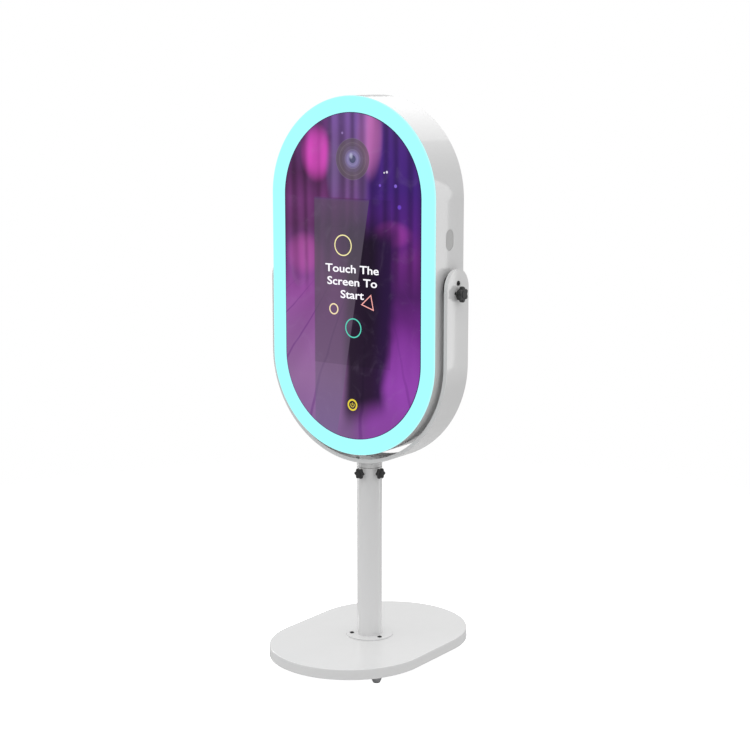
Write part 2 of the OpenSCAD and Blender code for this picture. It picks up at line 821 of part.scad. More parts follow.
module lens_barrel() color("dimgray") at_head() translate([lens_side, lens_front, lens_up])
    rotate([-90, 0, 0]) rotate_extrude() polygon([
        [lens_r - 7, 0], [lens_r, 0], [lens_r, 12], [lens_r - 1, 13], [lens_r - 1, 15],
        [lens_r, 16], [lens_r, lens_len - 8], [lens_r - 3, lens_len], [lens_r - 12, lens_len],
        [lens_r - 12, 9], [lens_r - 7, 5]
    ]);

// Front element: a disc with a domed face
module lens_glass() color("midnightblue") at_head() translate([lens_side, lens_front + 5, lens_up])
    rotate([90, 0, 0]) rotate_extrude() polygon(concat(
        [[0, 0], [lens_r - 7, 0]],
        [for (i = [0:6]) let (a = i * 15) [(lens_r - 7) * cos(a), 1 + 3 * sin(a)]]
    ));

module camera_body() color("black") at_head() {
    block([lens_side - camera_size.x / 2, lens_side + camera_size.x / 2],
        [lens_back, lens_back + camera_size.y],
        [camera_shelf, camera_shelf + camera_size.z - 14]);
    block([lens_side - 24, lens_side + 24], [lens_back, lens_back + camera_size.y * 0.8],
        [camera_shelf + camera_size.z - 14 - eps, camera_shelf + camera_size.z]);
}

// ---- electronics ----

module mini_computer() color("dimgray") at_head() difference() {
    block([-120, 10], [tray_back, tray_back + box_d], [35, 165]);
    for (i = [0:8]) block([-110, 0], [tray_back + box_d - 2, tray_back + box_d + cut],
        [48 + i * 12, 54 + i * 12]);
}

module power_supply() color("silver") at_head() difference() {
    block([20, 120], [tray_back, tray_back + box_d], [-190, -30]);
    for (i = [0:8]) block([30, 110], [tray_back + box_d - 2, tray_back + box_d + cut],
        [-178 + i * 16, -170 + i * 16]);
}

module speakers() color("black") at_head() both_sides()
    translate([speaker_side, shell_in, -speaker_drop]) rotate([90, 0, 0]) rotate_extrude()
        polygon([
            [0, 10], [14, 10], [speaker_r - 6, 2], [speaker_r - 4, 0], [speaker_r, 0],
            [speaker_r, 4], [speaker_r - 12, 18], [22, 20], [22, 32], [0, 32]
        ]);

module fan_frame() color("black") at_head() translate([0, 0, fan_z]) {
    y0 = shell_in - fan_d;
    difference() {
        along_y(y0, shell_in) round_rect(fan_w, fan_w, 5);
        rod_y(y0 - cut, shell_in + cut, fan_w / 2 - 2);
    }
    difference() {
        union() {
            rod_y(y0, y0 + 3, fan_w * 0.22);
            for (i = [0:3]) rotate([0, 45 + i * 90, 0])
                block([fan_w * 0.2, fan_w / 2 - 1], [y0, y0 + 3], [-2, 2]);
        }
        rod_y(y0 - cut, y0 + 3 + cut, fan_shaft_r + run_gap);
    }
}

module fan_rotor() color("dimgray") at_head() translate([0, 0, fan_z]) {
    y0 = shell_in - fan_d + 4;
    y1 = shell_in - 3;
    hub = fan_w * 0.22;
    rod_y(y0, y1, hub);
    rod_y(y0 - 4, y0 + eps, fan_shaft_r);
    for (i = [0:fan_blades - 1]) rotate([0, i * 360 / fan_blades, 0]) intersection() {
        translate([(hub + fan_w / 2) / 2 - 2, (y0 + y1) / 2, 0]) rotate([38, 0, 0])
            cube([fan_w / 2 - hub, 1.6, 20], center = true);
        rod_y(y0 + 1, y1 - 1, fan_w / 2 - 3.5);
    }
}

module fan_guard() color("silver") at_head() translate([0, back, fan_z]) {
    for (r = [10:8:fan_w / 2 - 4])
        rotate([-90, 0, 0]) translate([0, 0, 2.4]) rotate_extrude() translate([r, 0]) circle(0.9);
    for (a = [45, 135]) rotate([0, a, 0])
        rod_x(-fan_w * 0.64, fan_w * 0.64, 0.9, 1.2, 0);
    for (i = [0:3]) rotate([0, 45 + 90 * i, 0]) translate([fan_w * 0.64, 0, 0]) {
        difference() {
            rod_y(0, 2, 4.5);
            rod_y(-cut, 2 + cut, 2.2);
        }
        rod_y(1, 3, 2.2);
    }
}

// ---- mains inlet and switch ----

module inlet_plate() color("silver") at_head() translate([0, 0, -inlet_drop]) difference() {
    along_y(back, back + inlet_t) round_rect(inlet_w, inlet_h, 6);
    along_y(back - cut, back + inlet_t + cut) translate([socket_x, 0]) square([28, 21], center = true);
    along_y(back - cut, back + inlet_t + cut) translate([rocker_x, 0])
        square([2 * rocker_half + 6, 16], center = true);
}

module mains_inlet() color("black") at_head() translate([socket_x, 0, -inlet_drop]) {
    face = back + inlet_t;
    floor_y = face + 2.5 - 17;
    difference() {
        union() {
            along_y(face, face + 2.5) round_rect(34, 27, 4);
            along_y(floor_y - 6, face + eps) square([27.4, 20.4], center = true);
        }
        along_y(floor_y, face + 2.5 + cut) polygon([
            [-12.2, -8.2], [12.2, -8.2], [12.2, 3.5], [7.5, 8.2], [-7.5, 8.2], [-12.2, 3.5]
        ]);
    }
    for (p = [[-7, -1], [7, -1], [0, 3]])
        block([p[0] - 1, p[0] + 1], [floor_y - eps, face + 0.5], [p[1] - 2, p[1] + 2]);
}

module rocker_frame() color("black") at_head() translate([rocker_x, 0, -inlet_drop])
    difference() {
        union() {
            along_y(back + inlet_t, back + inlet_t + 1.5)
                round_rect(2 * rocker_half + 10, 20, 2);
            along_y(rocker_axis - 12, back + inlet_t + eps)
                square([2 * rocker_half + 5.4, 15.4], center = true);
        }
        along_y(rocker_axis - 8, back + inlet_t + 2 + cut)
            square([2 * rocker_half + 2, 11.4], center = true);
        translate([0, rocker_axis, -7]) cylinder(h = 14, r = rocker_pin_r + run_gap);
    }

module power_rocker() color("dimgray") at_head()
    translate([rocker_x, rocker_axis, -inlet_drop]) rotate([0, 0, rocker_tilt]) union() {
        translate([0, 0, -5.5]) linear_extrude(11) polygon([
            [-rocker_half, -3], [0, -4.5], [rocker_half, -3],
            [rocker_half, 5.5], [0, 4], [-rocker_half, 5.5]
        ]);
        translate([0, 0, -6.8]) cylinder(h = 13.6, r = rocker_pin_r);
    }

// ---- service door ----

// Parts of one hinge, with the door's side towards -X; z = 0 is the hinge's middle
module fixed_leaf() {
    block([leaf_clear, leaf_w], [back, back + leaf_t], [-leaf_h / 2, leaf_h / 2]);
    for (s = [-1, 1]) translate([0, 0, s * leaf_h / 3]) {
        block([0, leaf_clear + eps], [back, back + leaf_t], [-leaf_h / 6 + 0.2, leaf_h / 6 - 0.2]);
        difference() {
            translate([0, hinge_y, -leaf_h / 6 + 0.2]) cylinder(h = leaf_h / 3 - 0.4, r = knuckle_r);
            translate([0, hinge_y, -leaf_h]) cylinder(h = 2 * leaf_h, r = hinge_pin_r);
        }
    }
}

module moving_leaf() {
    block([-leaf_w, -leaf_clear], [back, back + leaf_t], [-leaf_h / 2, leaf_h / 2]);
    difference() {
        union() {
            block([-leaf_clear - eps, 0], [back + 0.4, back + leaf_t], [-leaf_h / 6, leaf_h / 6]);
            translate([0, hinge_y, -leaf_h / 6]) cylinder(h = leaf_h / 3, r = knuckle_r);
        }
        translate([0, hinge_y, -leaf_h]) cylinder(h = 2 * leaf_h, r = hinge_pin_r + run_gap);
    }
}

module at_hinges() {
    at_head() for (z = hinge_zs) translate([hinge_x, 0, z]) children();
}

module hinge_leaves() color("gainsboro") at_hinges() fixed_leaf();
module door_leaves() color("gainsboro") at_hinges() moving_leaf();
module hinge_pins() color("silver") at_hinges() translate([0, hinge_y, -leaf_h / 2])
    cylinder(h = leaf_h, r = hinge_pin_r);

module rear_door() color("whitesmoke") at_head() translate([0, 0, door_up]) difference() {
    w = door_w - 2 * door_gap;
    h = door_h - 2 * door_gap;
    r = door_corner - door_gap;
    along_y(shell_in - rim_d, back) round_rect(w, h, r);
    along_y(shell_in - rim_d - cut, shell_in)
        round_rect(w - 2 * shell_t, h - 2 * shell_t, r - shell_t);
    for (z = [-0.34, 0.34]) translate([0, 0, z * door_h])
        along_y(shell_in - cut, back + cut) vent_slots(door_w * 0.5, 5, 11, 7);
    rod_y(shell_in - cut, back + cut, lock_r + run_gap, lock_x, -door_up);
}

module lock_barrel() color("silver") at_head() difference() {
    union() {
        rod_y(cam_y, back + 1, lock_r, lock_x, 0);
        rod_y(back + face_gap, back + 2.5, lock_head_r, lock_x, 0);
    }
    block([lock_x - 0.8, lock_x + 0.8], [back - 4, back + 3], [-4, 4]);
}

module lock_cam() color("silver") at_head() translate([lock_x, 0, 0])
    along_y(cam_y - cam_t, cam_y) union() {
        circle(lock_r);
        translate([-6, -cam_reach]) square([12, cam_reach]);
    }

base_cover();
base_plate();
ballast_plate();
pole_anchor();
base_screws();
foot_front_left();
foot_front_right();
foot_rear_left();
foot_rear_right();
pole_flange();
flange_screws();
pole_tube();
clamp_bosses();
pole_bush();
thrust_washer();
pole_knob_front();
pole_knob_front_washer();
pole_knob_side();
pole_knob_side_washer();
swivel_spigot();
yoke_band();
yoke_screws();
tilt_hubs();
hub_screws();
tilt_pivot_screws();
tilt_washers();
pivot_plates();
tilt_knob_right();
tilt_knob_right_washer();
tilt_knob_left();
tilt_knob_left_washer();
housing_shell();
side_plugs();
diffuser_ring();
light_channel();
led_strip();
mirror_glass();
touch_film();
lcd_panel();
chassis_frame();
camera_shroud();
lens_barrel();
lens_glass();
camera_body();
mini_computer();
power_supply();
speakers();
fan_frame();
fan_rotor();
fan_guard();
inlet_plate();
mains_inlet();
rocker_frame();
power_rocker();
hinge_leaves();
hinge_pins();
rear_door();
door_leaves();
lock_barrel();
lock_cam();
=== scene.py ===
import bmesh
import bpy
import json
import math
from mathutils import Matrix, Vector

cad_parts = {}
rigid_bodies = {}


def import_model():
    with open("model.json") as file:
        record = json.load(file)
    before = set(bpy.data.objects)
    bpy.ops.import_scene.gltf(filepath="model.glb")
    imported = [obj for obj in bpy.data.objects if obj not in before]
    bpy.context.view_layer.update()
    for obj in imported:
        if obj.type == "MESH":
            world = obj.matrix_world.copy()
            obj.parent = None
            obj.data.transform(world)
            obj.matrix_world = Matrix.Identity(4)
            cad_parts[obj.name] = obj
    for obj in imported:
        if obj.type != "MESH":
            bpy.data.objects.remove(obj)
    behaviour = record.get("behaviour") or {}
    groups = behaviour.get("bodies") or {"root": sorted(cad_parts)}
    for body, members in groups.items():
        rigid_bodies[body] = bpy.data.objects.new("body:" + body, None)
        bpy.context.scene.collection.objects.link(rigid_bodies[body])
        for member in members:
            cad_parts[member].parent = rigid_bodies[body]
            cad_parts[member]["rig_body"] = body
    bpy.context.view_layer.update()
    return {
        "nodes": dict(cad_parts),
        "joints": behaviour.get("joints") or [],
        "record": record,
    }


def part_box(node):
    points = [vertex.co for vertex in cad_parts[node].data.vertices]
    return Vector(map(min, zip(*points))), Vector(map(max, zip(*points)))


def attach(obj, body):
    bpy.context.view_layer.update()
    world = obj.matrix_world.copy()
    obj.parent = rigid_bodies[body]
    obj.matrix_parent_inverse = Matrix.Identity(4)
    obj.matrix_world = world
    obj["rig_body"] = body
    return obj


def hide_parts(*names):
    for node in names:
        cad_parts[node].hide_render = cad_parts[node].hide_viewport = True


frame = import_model()
cadNodes = frame["nodes"]
jointOf = {joint["child"]: joint for joint in frame["joints"]}
slotOf = {part["node"]: part["material_slot"] for part in frame["record"]["subparts"]}
bodyOf = {node: obj["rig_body"] for node, obj in cadNodes.items()}
mm = 0.001


def middle(node):
    low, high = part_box(node)
    return (low + high) / 2


def placed(name, data):
    obj = bpy.data.objects.new(name, data)
    bpy.context.scene.collection.objects.link(obj)
    return obj


head = middle("housing_shell")
print("frame loaded:", len(cadNodes), "CAD nodes, head centre at", round(head.z, 4))


# camera and studio

camera = {
    "distance": 4.795, "azimuth": 35.72, "height": 1.6874, "tilt": 79.87, "turn": 35.53, "lens": 81.57,
    "sensor": 36, "reach": 100,
}
studio = {
    "horizon": 0.45, "zenith": 1.27, "backdrop": 1.0,
    "floor": 2.6, "floorFade": 1.1, "floorTone": 0.64,
}
softboxes = {                       # place, what it points at, width, height, power, seen in gloss only
    "leftBox": ((-3.4, -3.2, 2.6), (0, 0, 1.0), 1.8, 2.4, 10, False),
    "backBox": ((-0.9, 3.5, 3.55), (-0.2, 0, 1.6), 4.4, 2.2, 22, True),
    "leftStrip": ((-3.2, 0.4, 0.6), (0, 0, 0.4), 0.9, 3.0, 16, True),
    "rightStrip": ((2.6, 2.9, 0.6), (0, 0, 0.4), 0.7, 3.0, 12, True),
}


def makeCamera():
    data = bpy.data.cameras.new("viewCamera")
    data.lens = camera["lens"]
    data.sensor_width = camera["sensor"]
    data.clip_end = camera["reach"]
    obj = placed("viewCamera", data)
    azimuth, away = math.radians(camera["azimuth"]), camera["distance"]
    obj.location = (away * math.sin(azimuth), -away * math.cos(azimuth), camera["height"])
    obj.rotation_euler = (math.radians(camera["tilt"]), 0, math.radians(camera["turn"]))
    bpy.context.scene.camera = obj


def makeLights():
    for name, (place, target, width, height, power, glossOnly) in softboxes.items():
        data = bpy.data.lights.new(name, "AREA")
        data.shape = "RECTANGLE"
        data.size, data.size_y, data.energy = width, height, power
        obj = placed(name, data)
        obj.location = place
        obj.rotation_euler = (Vector(target) - Vector(place)).to_track_quat("-Z", "Y").to_euler()
        obj.visible_diffuse = not glossOnly


def makeTent():
    # soft light all round, brightest overhead, which the camera sees as a white backdrop
    world = bpy.data.worlds.new("studioAir")
    bpy.context.scene.world = world
    world.use_nodes = True
    tree = world.node_tree
    around = tree.nodes.new("ShaderNodeTexCoord")
    split = tree.nodes.new("ShaderNodeSeparateXYZ")
    tent = tree.nodes.new("ShaderNodeMapRange")
    tent.inputs["To Min"].default_value = studio["horizon"]
    tent.inputs["To Max"].default_value = studio["zenith"]
    path = tree.nodes.new("ShaderNodeLightPath")
    level = tree.nodes.new("ShaderNodeMapRange")
    level.inputs["To Max"].default_value = studio["backdrop"]
    tree.links.new(around.outputs["Generated"], split.inputs[0])
    tree.links.new(split.outputs["Z"], tent.inputs["Value"])
    tree.links.new(tent.outputs[0], level.inputs["To Min"])
    tree.links.new(path.outputs["Is Camera Ray"], level.inputs["Value"])
    tree.links.new(level.outputs[0], tree.nodes["Background"].inputs["Strength"])
    tree.nodes["Background"].inputs["Color"].default_value = (1, 1, 1, 1)
    view = bpy.context.scene.view_settings
    view.view_transform, view.look, view.exposure = "Standard", "None", 0


makeCamera()
makeLights()
makeTent()
print("camera and lights placed")


# finishes

class Wire:
    # a node output that stands in an expression like a number
    def __init__(self, finish, socket):
        self.finish = finish
        self.socket = socket

    def maths(self, operation, *values):
        return self.finish.add("ShaderNodeMath", {"operation": operation}, dict(enumerate(values)))

    def __add__(self, other): return self.maths("ADD", self, other)
    def __sub__(self, other): return self.maths("SUBTRACT", self, other)
    def __rsub__(self, other): return self.maths("SUBTRACT", other, self)
    def __mul__(self, other): return self.maths("MULTIPLY", self, other)
    def __truediv__(self, other): return self.maths("DIVIDE", self, other)
    def __pow__(self, other): return self.maths("POWER", self, other)
    def __abs__(self): return self.maths("ABSOLUTE", self)
    __radd__ = __add__

    def over(self, other): return self.maths("MAXIMUM", self, other)


class Finish:
    # a material and the nodes in it
    def __init__(self, name):
        self.material = bpy.data.materials.new(name)
        self.material.use_nodes = True
        self.tree = self.material.node_tree
        self.tree.nodes.clear()
        self.place = self.add("ShaderNodeTexCoord", output="Object")

    def add(self, kind, settings=None, values=None, output=0):
        node = self.tree.nodes.new(kind)
        for key, value in (settings or {}).items():
            if key == "stops":
                ramp = node.color_ramp.elements
                while len(ramp) < len(value):
                    ramp.new(0.5)
                for i, (position, colour) in enumerate(value):
                    ramp[i].position, ramp[i].color = position, (*colour, 1)
            else:
                setattr(node, key, value)
        for key, value in (values or {}).items():
            if isinstance(value, Wire):
                self.tree.links.new(value.socket, node.inputs[key])
            elif isinstance(value, tuple) and node.inputs[key].type == "RGBA":
                node.inputs[key].default_value = (*value[:3], 1)
            else:
                node.inputs[key].default_value = value
        return Wire(self, node.outputs[output]) if len(node.outputs) else None

    def xyz(self, vector=None):
        node = self.add("ShaderNodeSeparateXYZ", values={0: vector or self.place}).socket.node
        return [Wire(self, socket) for socket in node.outputs]

    def stretched(self, scale, turn=(0, 0, 0)):
        return self.add("ShaderNodeMapping", values={"Vector": self.place, "Scale": scale, "Rotation": turn})

    def noise(self, scale, detail=3, roughness=0.5, distortion=0, vector=None):
        return self.add("ShaderNodeTexNoise", values={
            "Vector": vector or self.place, "Scale": scale, "Detail": detail,
            "Roughness": roughness, "Distortion": distortion})

    def step(self, value, low, high):
        return self.add("ShaderNodeMapRange", {"interpolation_type": "SMOOTHSTEP"},
                        {"Value": value, "From Min": low, "From Max": high})

    def ramp(self, value, stops):
        return self.add("ShaderNodeValToRGB", {"stops": stops}, {0: value})

    def mix(self, factor, first, second, blend="MIX"):
        return self.add("ShaderNodeMix", {"data_type": "RGBA", "blend_type": blend},
                        {0: factor, 6: first, 7: second}, output=2)

    def scaled(self, colour, factor):
        return self.add("ShaderNodeVectorMath", {"operation": "SCALE"}, {0: colour, "Scale": factor})

    def bump(self, height, distance, strength):
        return self.add("ShaderNodeBump", values={"Height": height, "Distance": distance, "Strength": strength})

    def surface(self, **values):
        named = {key.replace("_", " "): value for key, value in values.items()}
        shader = self.add("ShaderNodeBsdfPrincipled", values=named)
        self.add("ShaderNodeOutputMaterial", values={"Surface": shader})
        return self.material


def rgb(code):
    # a display colour as six hex digits, turned to linear light
    parts = [int(code[i:i + 2], 16) / 255 for i in (0, 2, 4)]
    return tuple(c / 12.92 if c <= 0.04045 else ((c + 0.055) / 1.055) ** 2.4 for c in parts)


def enamel(name, tone=0.80, gloss=0.24):
    # sprayed enamel: a faint orange peel, cloudy thickness and wiped patches under a clear coat
    f = Finish(name)
    cloud = f.noise(2.6, 2, 0.45)
    wiped = f.step(f.noise(7, 3, 0.5, 0.4, f.stretched((1, 1, 0.5))), 0.40, 0.70)
    colour = f.mix(cloud, (tone - 0.012, tone - 0.012, tone - 0.009),
                   (tone + 0.012, tone + 0.011, tone + 0.008))
    colour = f.mix(wiped * 0.05, colour, (tone - 0.03, tone - 0.03, tone - 0.026))
    peel = f.noise(380, 2, 0.4)
    specks = f.noise(1900, 2, 0.5)
    return f.surface(Base_Color=colour, Roughness=gloss + wiped * 0.012 + specks * 0.03,
                     Normal=f.bump(peel + specks * 0.15, 0.00012, 0.16),
                     Coat_Weight=0.9 - wiped * 0.08, Coat_Roughness=0.03)


def plated(name, tone=0.56, rough=0.27):
    # zinc plating: soft crystals, drawn lines and a dull bloom
    f = Finish(name)
    crystal = f.add("ShaderNodeTexVoronoi", {"feature": "F1"}, {"Vector": f.place, "Scale": 260},
                    output="Color")
    bloom = f.step(f.noise(38, 4, 0.6), 0.4, 0.7)
    lines = f.noise(700, 2, 0.5, 0, f.stretched((1, 1, 0.06)))
    colour = f.mix(bloom * 0.5, (tone, tone, tone * 0.97), (tone * 0.78, tone * 0.79, tone * 0.8))
    colour = f.mix(0.08, colour, crystal, "SOFT_LIGHT")
    return f.surface(Base_Color=colour, Metallic=1.0, Roughness=rough + bloom * 0.16 + lines * 0.08,
                     Normal=f.bump(lines, 0.00004, 0.25))


def moulded(name, colour, rough=0.42, grain=0.3, pitch=1500):
    # moulded plastic: spark-eroded grain, flow marks and a little dust in the grain
    f = Finish(name)
    grained = f.noise(pitch, 2, 0.5)
    flow = f.noise(26, 3, 0.5, 0.8, f.stretched((1, 1, 0.4)))
    dust = f.step(f.noise(60, 5, 0.65), 0.52, 0.8)
    tone = f.mix(flow, tuple(c * 0.86 for c in colour), tuple(c + 0.0105 for c in colour))
    tone = f.mix(dust * 0.10, tone, tuple(min(1, c + 0.10) for c in colour))
    return f.surface(Base_Color=tone, Roughness=rough + grained * 0.12 + dust * 0.08,
                     Normal=f.bump(grained, 0.00008, grain))


def blackened(name):
    # black oxide on steel: oily bloom with bright rubbed spots
    f = Finish(name)
    bloom = f.noise(90, 4, 0.6)
    rubbed = f.step(f.noise(420, 3, 0.6), 0.62, 0.74)
    colour = f.mix(bloom, (0.012, 0.012, 0.013), (0.035, 0.034, 0.036))
    colour = f.mix(rubbed * 0.3, colour, (0.22, 0.22, 0.23))
    return f.surface(Base_Color=colour, Metallic=0.7, Roughness=0.26 + bloom * 0.2,
                     Normal=f.bump(f.noise(1200, 2), 0.00004, 0.2))


def rolled(name):
    # mill scale on hot-rolled plate
    f = Finish(name)
    scale = f.noise(30, 6, 0.65, 0.6)
    rust = f.step(f.noise(9, 5, 0.7), 0.55, 0.72)
    colour = f.mix(scale, (0.045, 0.048, 0.055), (0.14, 0.14, 0.145))
    colour = f.mix(rust * 0.45, colour, (0.16, 0.075, 0.035))
    return f.surface(Base_Color=colour, Metallic=0.6, Roughness=0.5 + scale * 0.3,
                     Normal=f.bump(scale, 0.0002, 0.3))


def gliding(name, footTop):
    # grey rubber glide in patches of tone, darker towards the floor, with a band of painted shade at its top
    # under the base plate
    f = Finish(name)
    z = f.xyz()[2]
    low = 1 - f.step(z, 0.001, 0.0045)
    grain = f.noise(900, 3, 0.6)
    patch = f.noise(45, 4, 0.6)
    colour = f.mix(patch, rgb("a5a6a8"), rgb("c0c1c3"))
    colour = f.mix(low * 0.6, colour, rgb("77787a"))
    # painted shade under the base plate: a darker band at the top of the glide
    colour = f.mix(f.step(z, footTop - 0.004, footTop) * 0.5, colour, rgb("6a6b6d"))
    return f.surface(Base_Color=colour, Roughness=0.62 + grain * 0.2, Normal=f.bump(grain, 0.0002, 0.3))


def glazed(name, colour, rough=0.05):
    # coated glass with a few wiped smears
    f = Finish(name)
    smear = f.step(f.noise(30, 4, 0.6, 1.5), 0.45, 0.75)
    tone = f.mix(smear * 0.4, colour, tuple(min(1, c * 1.5 + 0.01) for c in colour))
    return f.surface(Base_Color=tone, Roughness=rough + smear * 0.12, Coat_Weight=0.8 - smear * 0.2,
                     Coat_Roughness=0.03, Normal=f.bump(smear, 0.00002, 0.1))


def boardFinish(name):
    # white circuit board with copper tracks between the lamps
    f = Finish(name)
    tracks = f.step(f.noise(240, 2, 0.5, 0.3, f.stretched((1, 0.1, 0.3))), 0.5, 0.54)
    colour = f.mix(tracks * 0.3, rgb("f2f1ea"), rgb("c9c2a8"))
    return f.surface(Base_Color=colour, Roughness=0.35 + tracks * 0.15, Normal=f.bump(tracks, 0.00003, 0.4))


def coneFinish(name):
    # dark pressed paper
    f = Finish(name)
    fibre = f.noise(600, 4, 0.7, 0.5)
    colour = f.mix(fibre, (0.018, 0.018, 0.02), (0.06, 0.058, 0.055))
    return f.surface(Base_Color=colour, Roughness=0.65 + fibre * 0.2, Normal=f.bump(fibre, 0.0002, 0.5))


ringTone = {                         # display colours, brightness, and widths of the paler edges in millimetres
    "lit": "a5ffff", "rim": "c4fdff", "inner": "aff4ff", "spots": "8ff6fb", "glow": 1.0,
    "rimWide": 3.5, "innerWide": 5,
}


def ovalReach(x, z, half):
    # distance from the middle line of the head's oval, in millimetres
    along = (abs(z - head.z) - half).over(0)
    return ((x * x + along * along) ** 0.5) * 1000


def litRing(name, inner, outer, half):
    # opal acrylic lit from behind: even light that thins towards its two edges, with faint lamp spots
    f = Finish(name)
    x, _, z = f.xyz()
    reach = ovalReach(x, z, half)
    edge = f.step(reach, outer - ringTone["rimWide"], outer - 0.2)
    inward = 1 - f.step(reach, inner, inner + ringTone["innerWide"])
    spots = f.noise(24, 2, 0.5)
    tone = f.mix(edge * 0.55, rgb(ringTone["lit"]), rgb(ringTone["rim"]))
    tone = f.mix(inward * 0.5, tone, rgb(ringTone["inner"]))
    tone = f.mix(spots * 0.10, tone, rgb(ringTone["spots"]))
    fine = f.noise(1400, 2)
    return f.surface(Base_Color=f.scaled(tone, 0.1), Roughness=0.35 + fine * 0.1, Emission_Color=tone,
                     Emission_Strength=ringTone["glow"], Specular_IOR_Level=0.2,
                     Normal=f.bump(fine, 0.00003, 0.2))


rampReach = 460                      # the ramps run this far below and above the head's centre, in millimetres


def stopsOf(*pairs):
    # heights in millimetres from the head's centre, lowest first, and display colours
    return [((v + rampReach) / (2 * rampReach), rgb(code)) for v, code in pairs]


reflectedVenue = {                            # painted reflection of the hall in front of the mirror; places and sizes in millimetres from the head's centre
    "leftWall": stopsOf((-430, "7d5a8c"), (-290, "8d6495"), (-150, "8a5593"), (-38, "8b4792"), (60, "6f3a78"),
                        (142, "5a2c5b"), (214, "652f66"), (290, "4c234e"), (430, "5a3068")),
    "rightWall": stopsOf((-430, "8a44a0"), (-290, "9241ac"), (-146, "702586"), (-38, "4a185e"), (70, "5f1f70"),
                         (150, "4a1a70"), (250, "3b1a6c"), (350, "412070"), (430, "46286e")),
    "glareTone": stopsOf((-430, "74618a"), (-250, "6c5a74"), (-110, "66566c"), (0, "675c6a"), (142, "5f5468"),
                         (214, "685672"), (222, "6c4f86"), (330, "6b5580"), (430, "75589c")),
    "dark": "13061d", "darkSide": "26093f", "plankGap": "5c1d74", "rim": "1b1238", "smear": "b9a6c8",
    "vanish": (60, 175),
    "glows": (                       # painted pools of coloured light: place, half width, half height, colour, strength
        (-120, 345, 48, 70, "e04fc4", 0.80), (62, 400, 40, 110, "e482cd", 0.62),
        (-165, 60, 60, 55, "c35aae", 0.45), (140, 130, 60, 34, "9b3a9e", 0.6),
        (175, -250, 70, 120, "9a45b4", 0.35), (-60, 300, 26, 80, "7d6aa6", 0.35)),
    "lampReflections": (                      # painted reflections of small lamps: place, radius, colour
        (112, 297, 2.6, "ffffff"), (121, 299, 4.0, "f4eaff"), (150, 262, 5.5, "8b6be0"),
        (163, 205, 7, "6f44c8"), (98, 262, 4.5, "7f57d0"), (-30, 402, 4, "c9a9f0")),
}
behind = {                           # what shows faintly through the glass
    "display": (2, -13, 132, 235, 0.17),        # centre, half width, half height, share of light lost
    "lens": (5, 331), "shroud": (55, 58), "shine": "d5d6f0",
    "barrel": [(0, "59607c"), (0.16, "4c5876"), (0.2, "8c86b4"), (0.35, "8d83b2"), (0.43, "6a5f78"),
               (0.72, "64585f"), (1, "5c5158")],
    "lensRings": (                   # rims of the lens, the pale ones with painted highlights: radius, colour, strength
        (57, "7f7486", 0.45), (45, "857a84", 0.4), (38, "51474f", 0.45), (26, "a59dc0", 0.3),
        (21, "6a6690", 0.3), (17, "a9a6cf", 0.3), (9, "39435c", 0.6)),
}


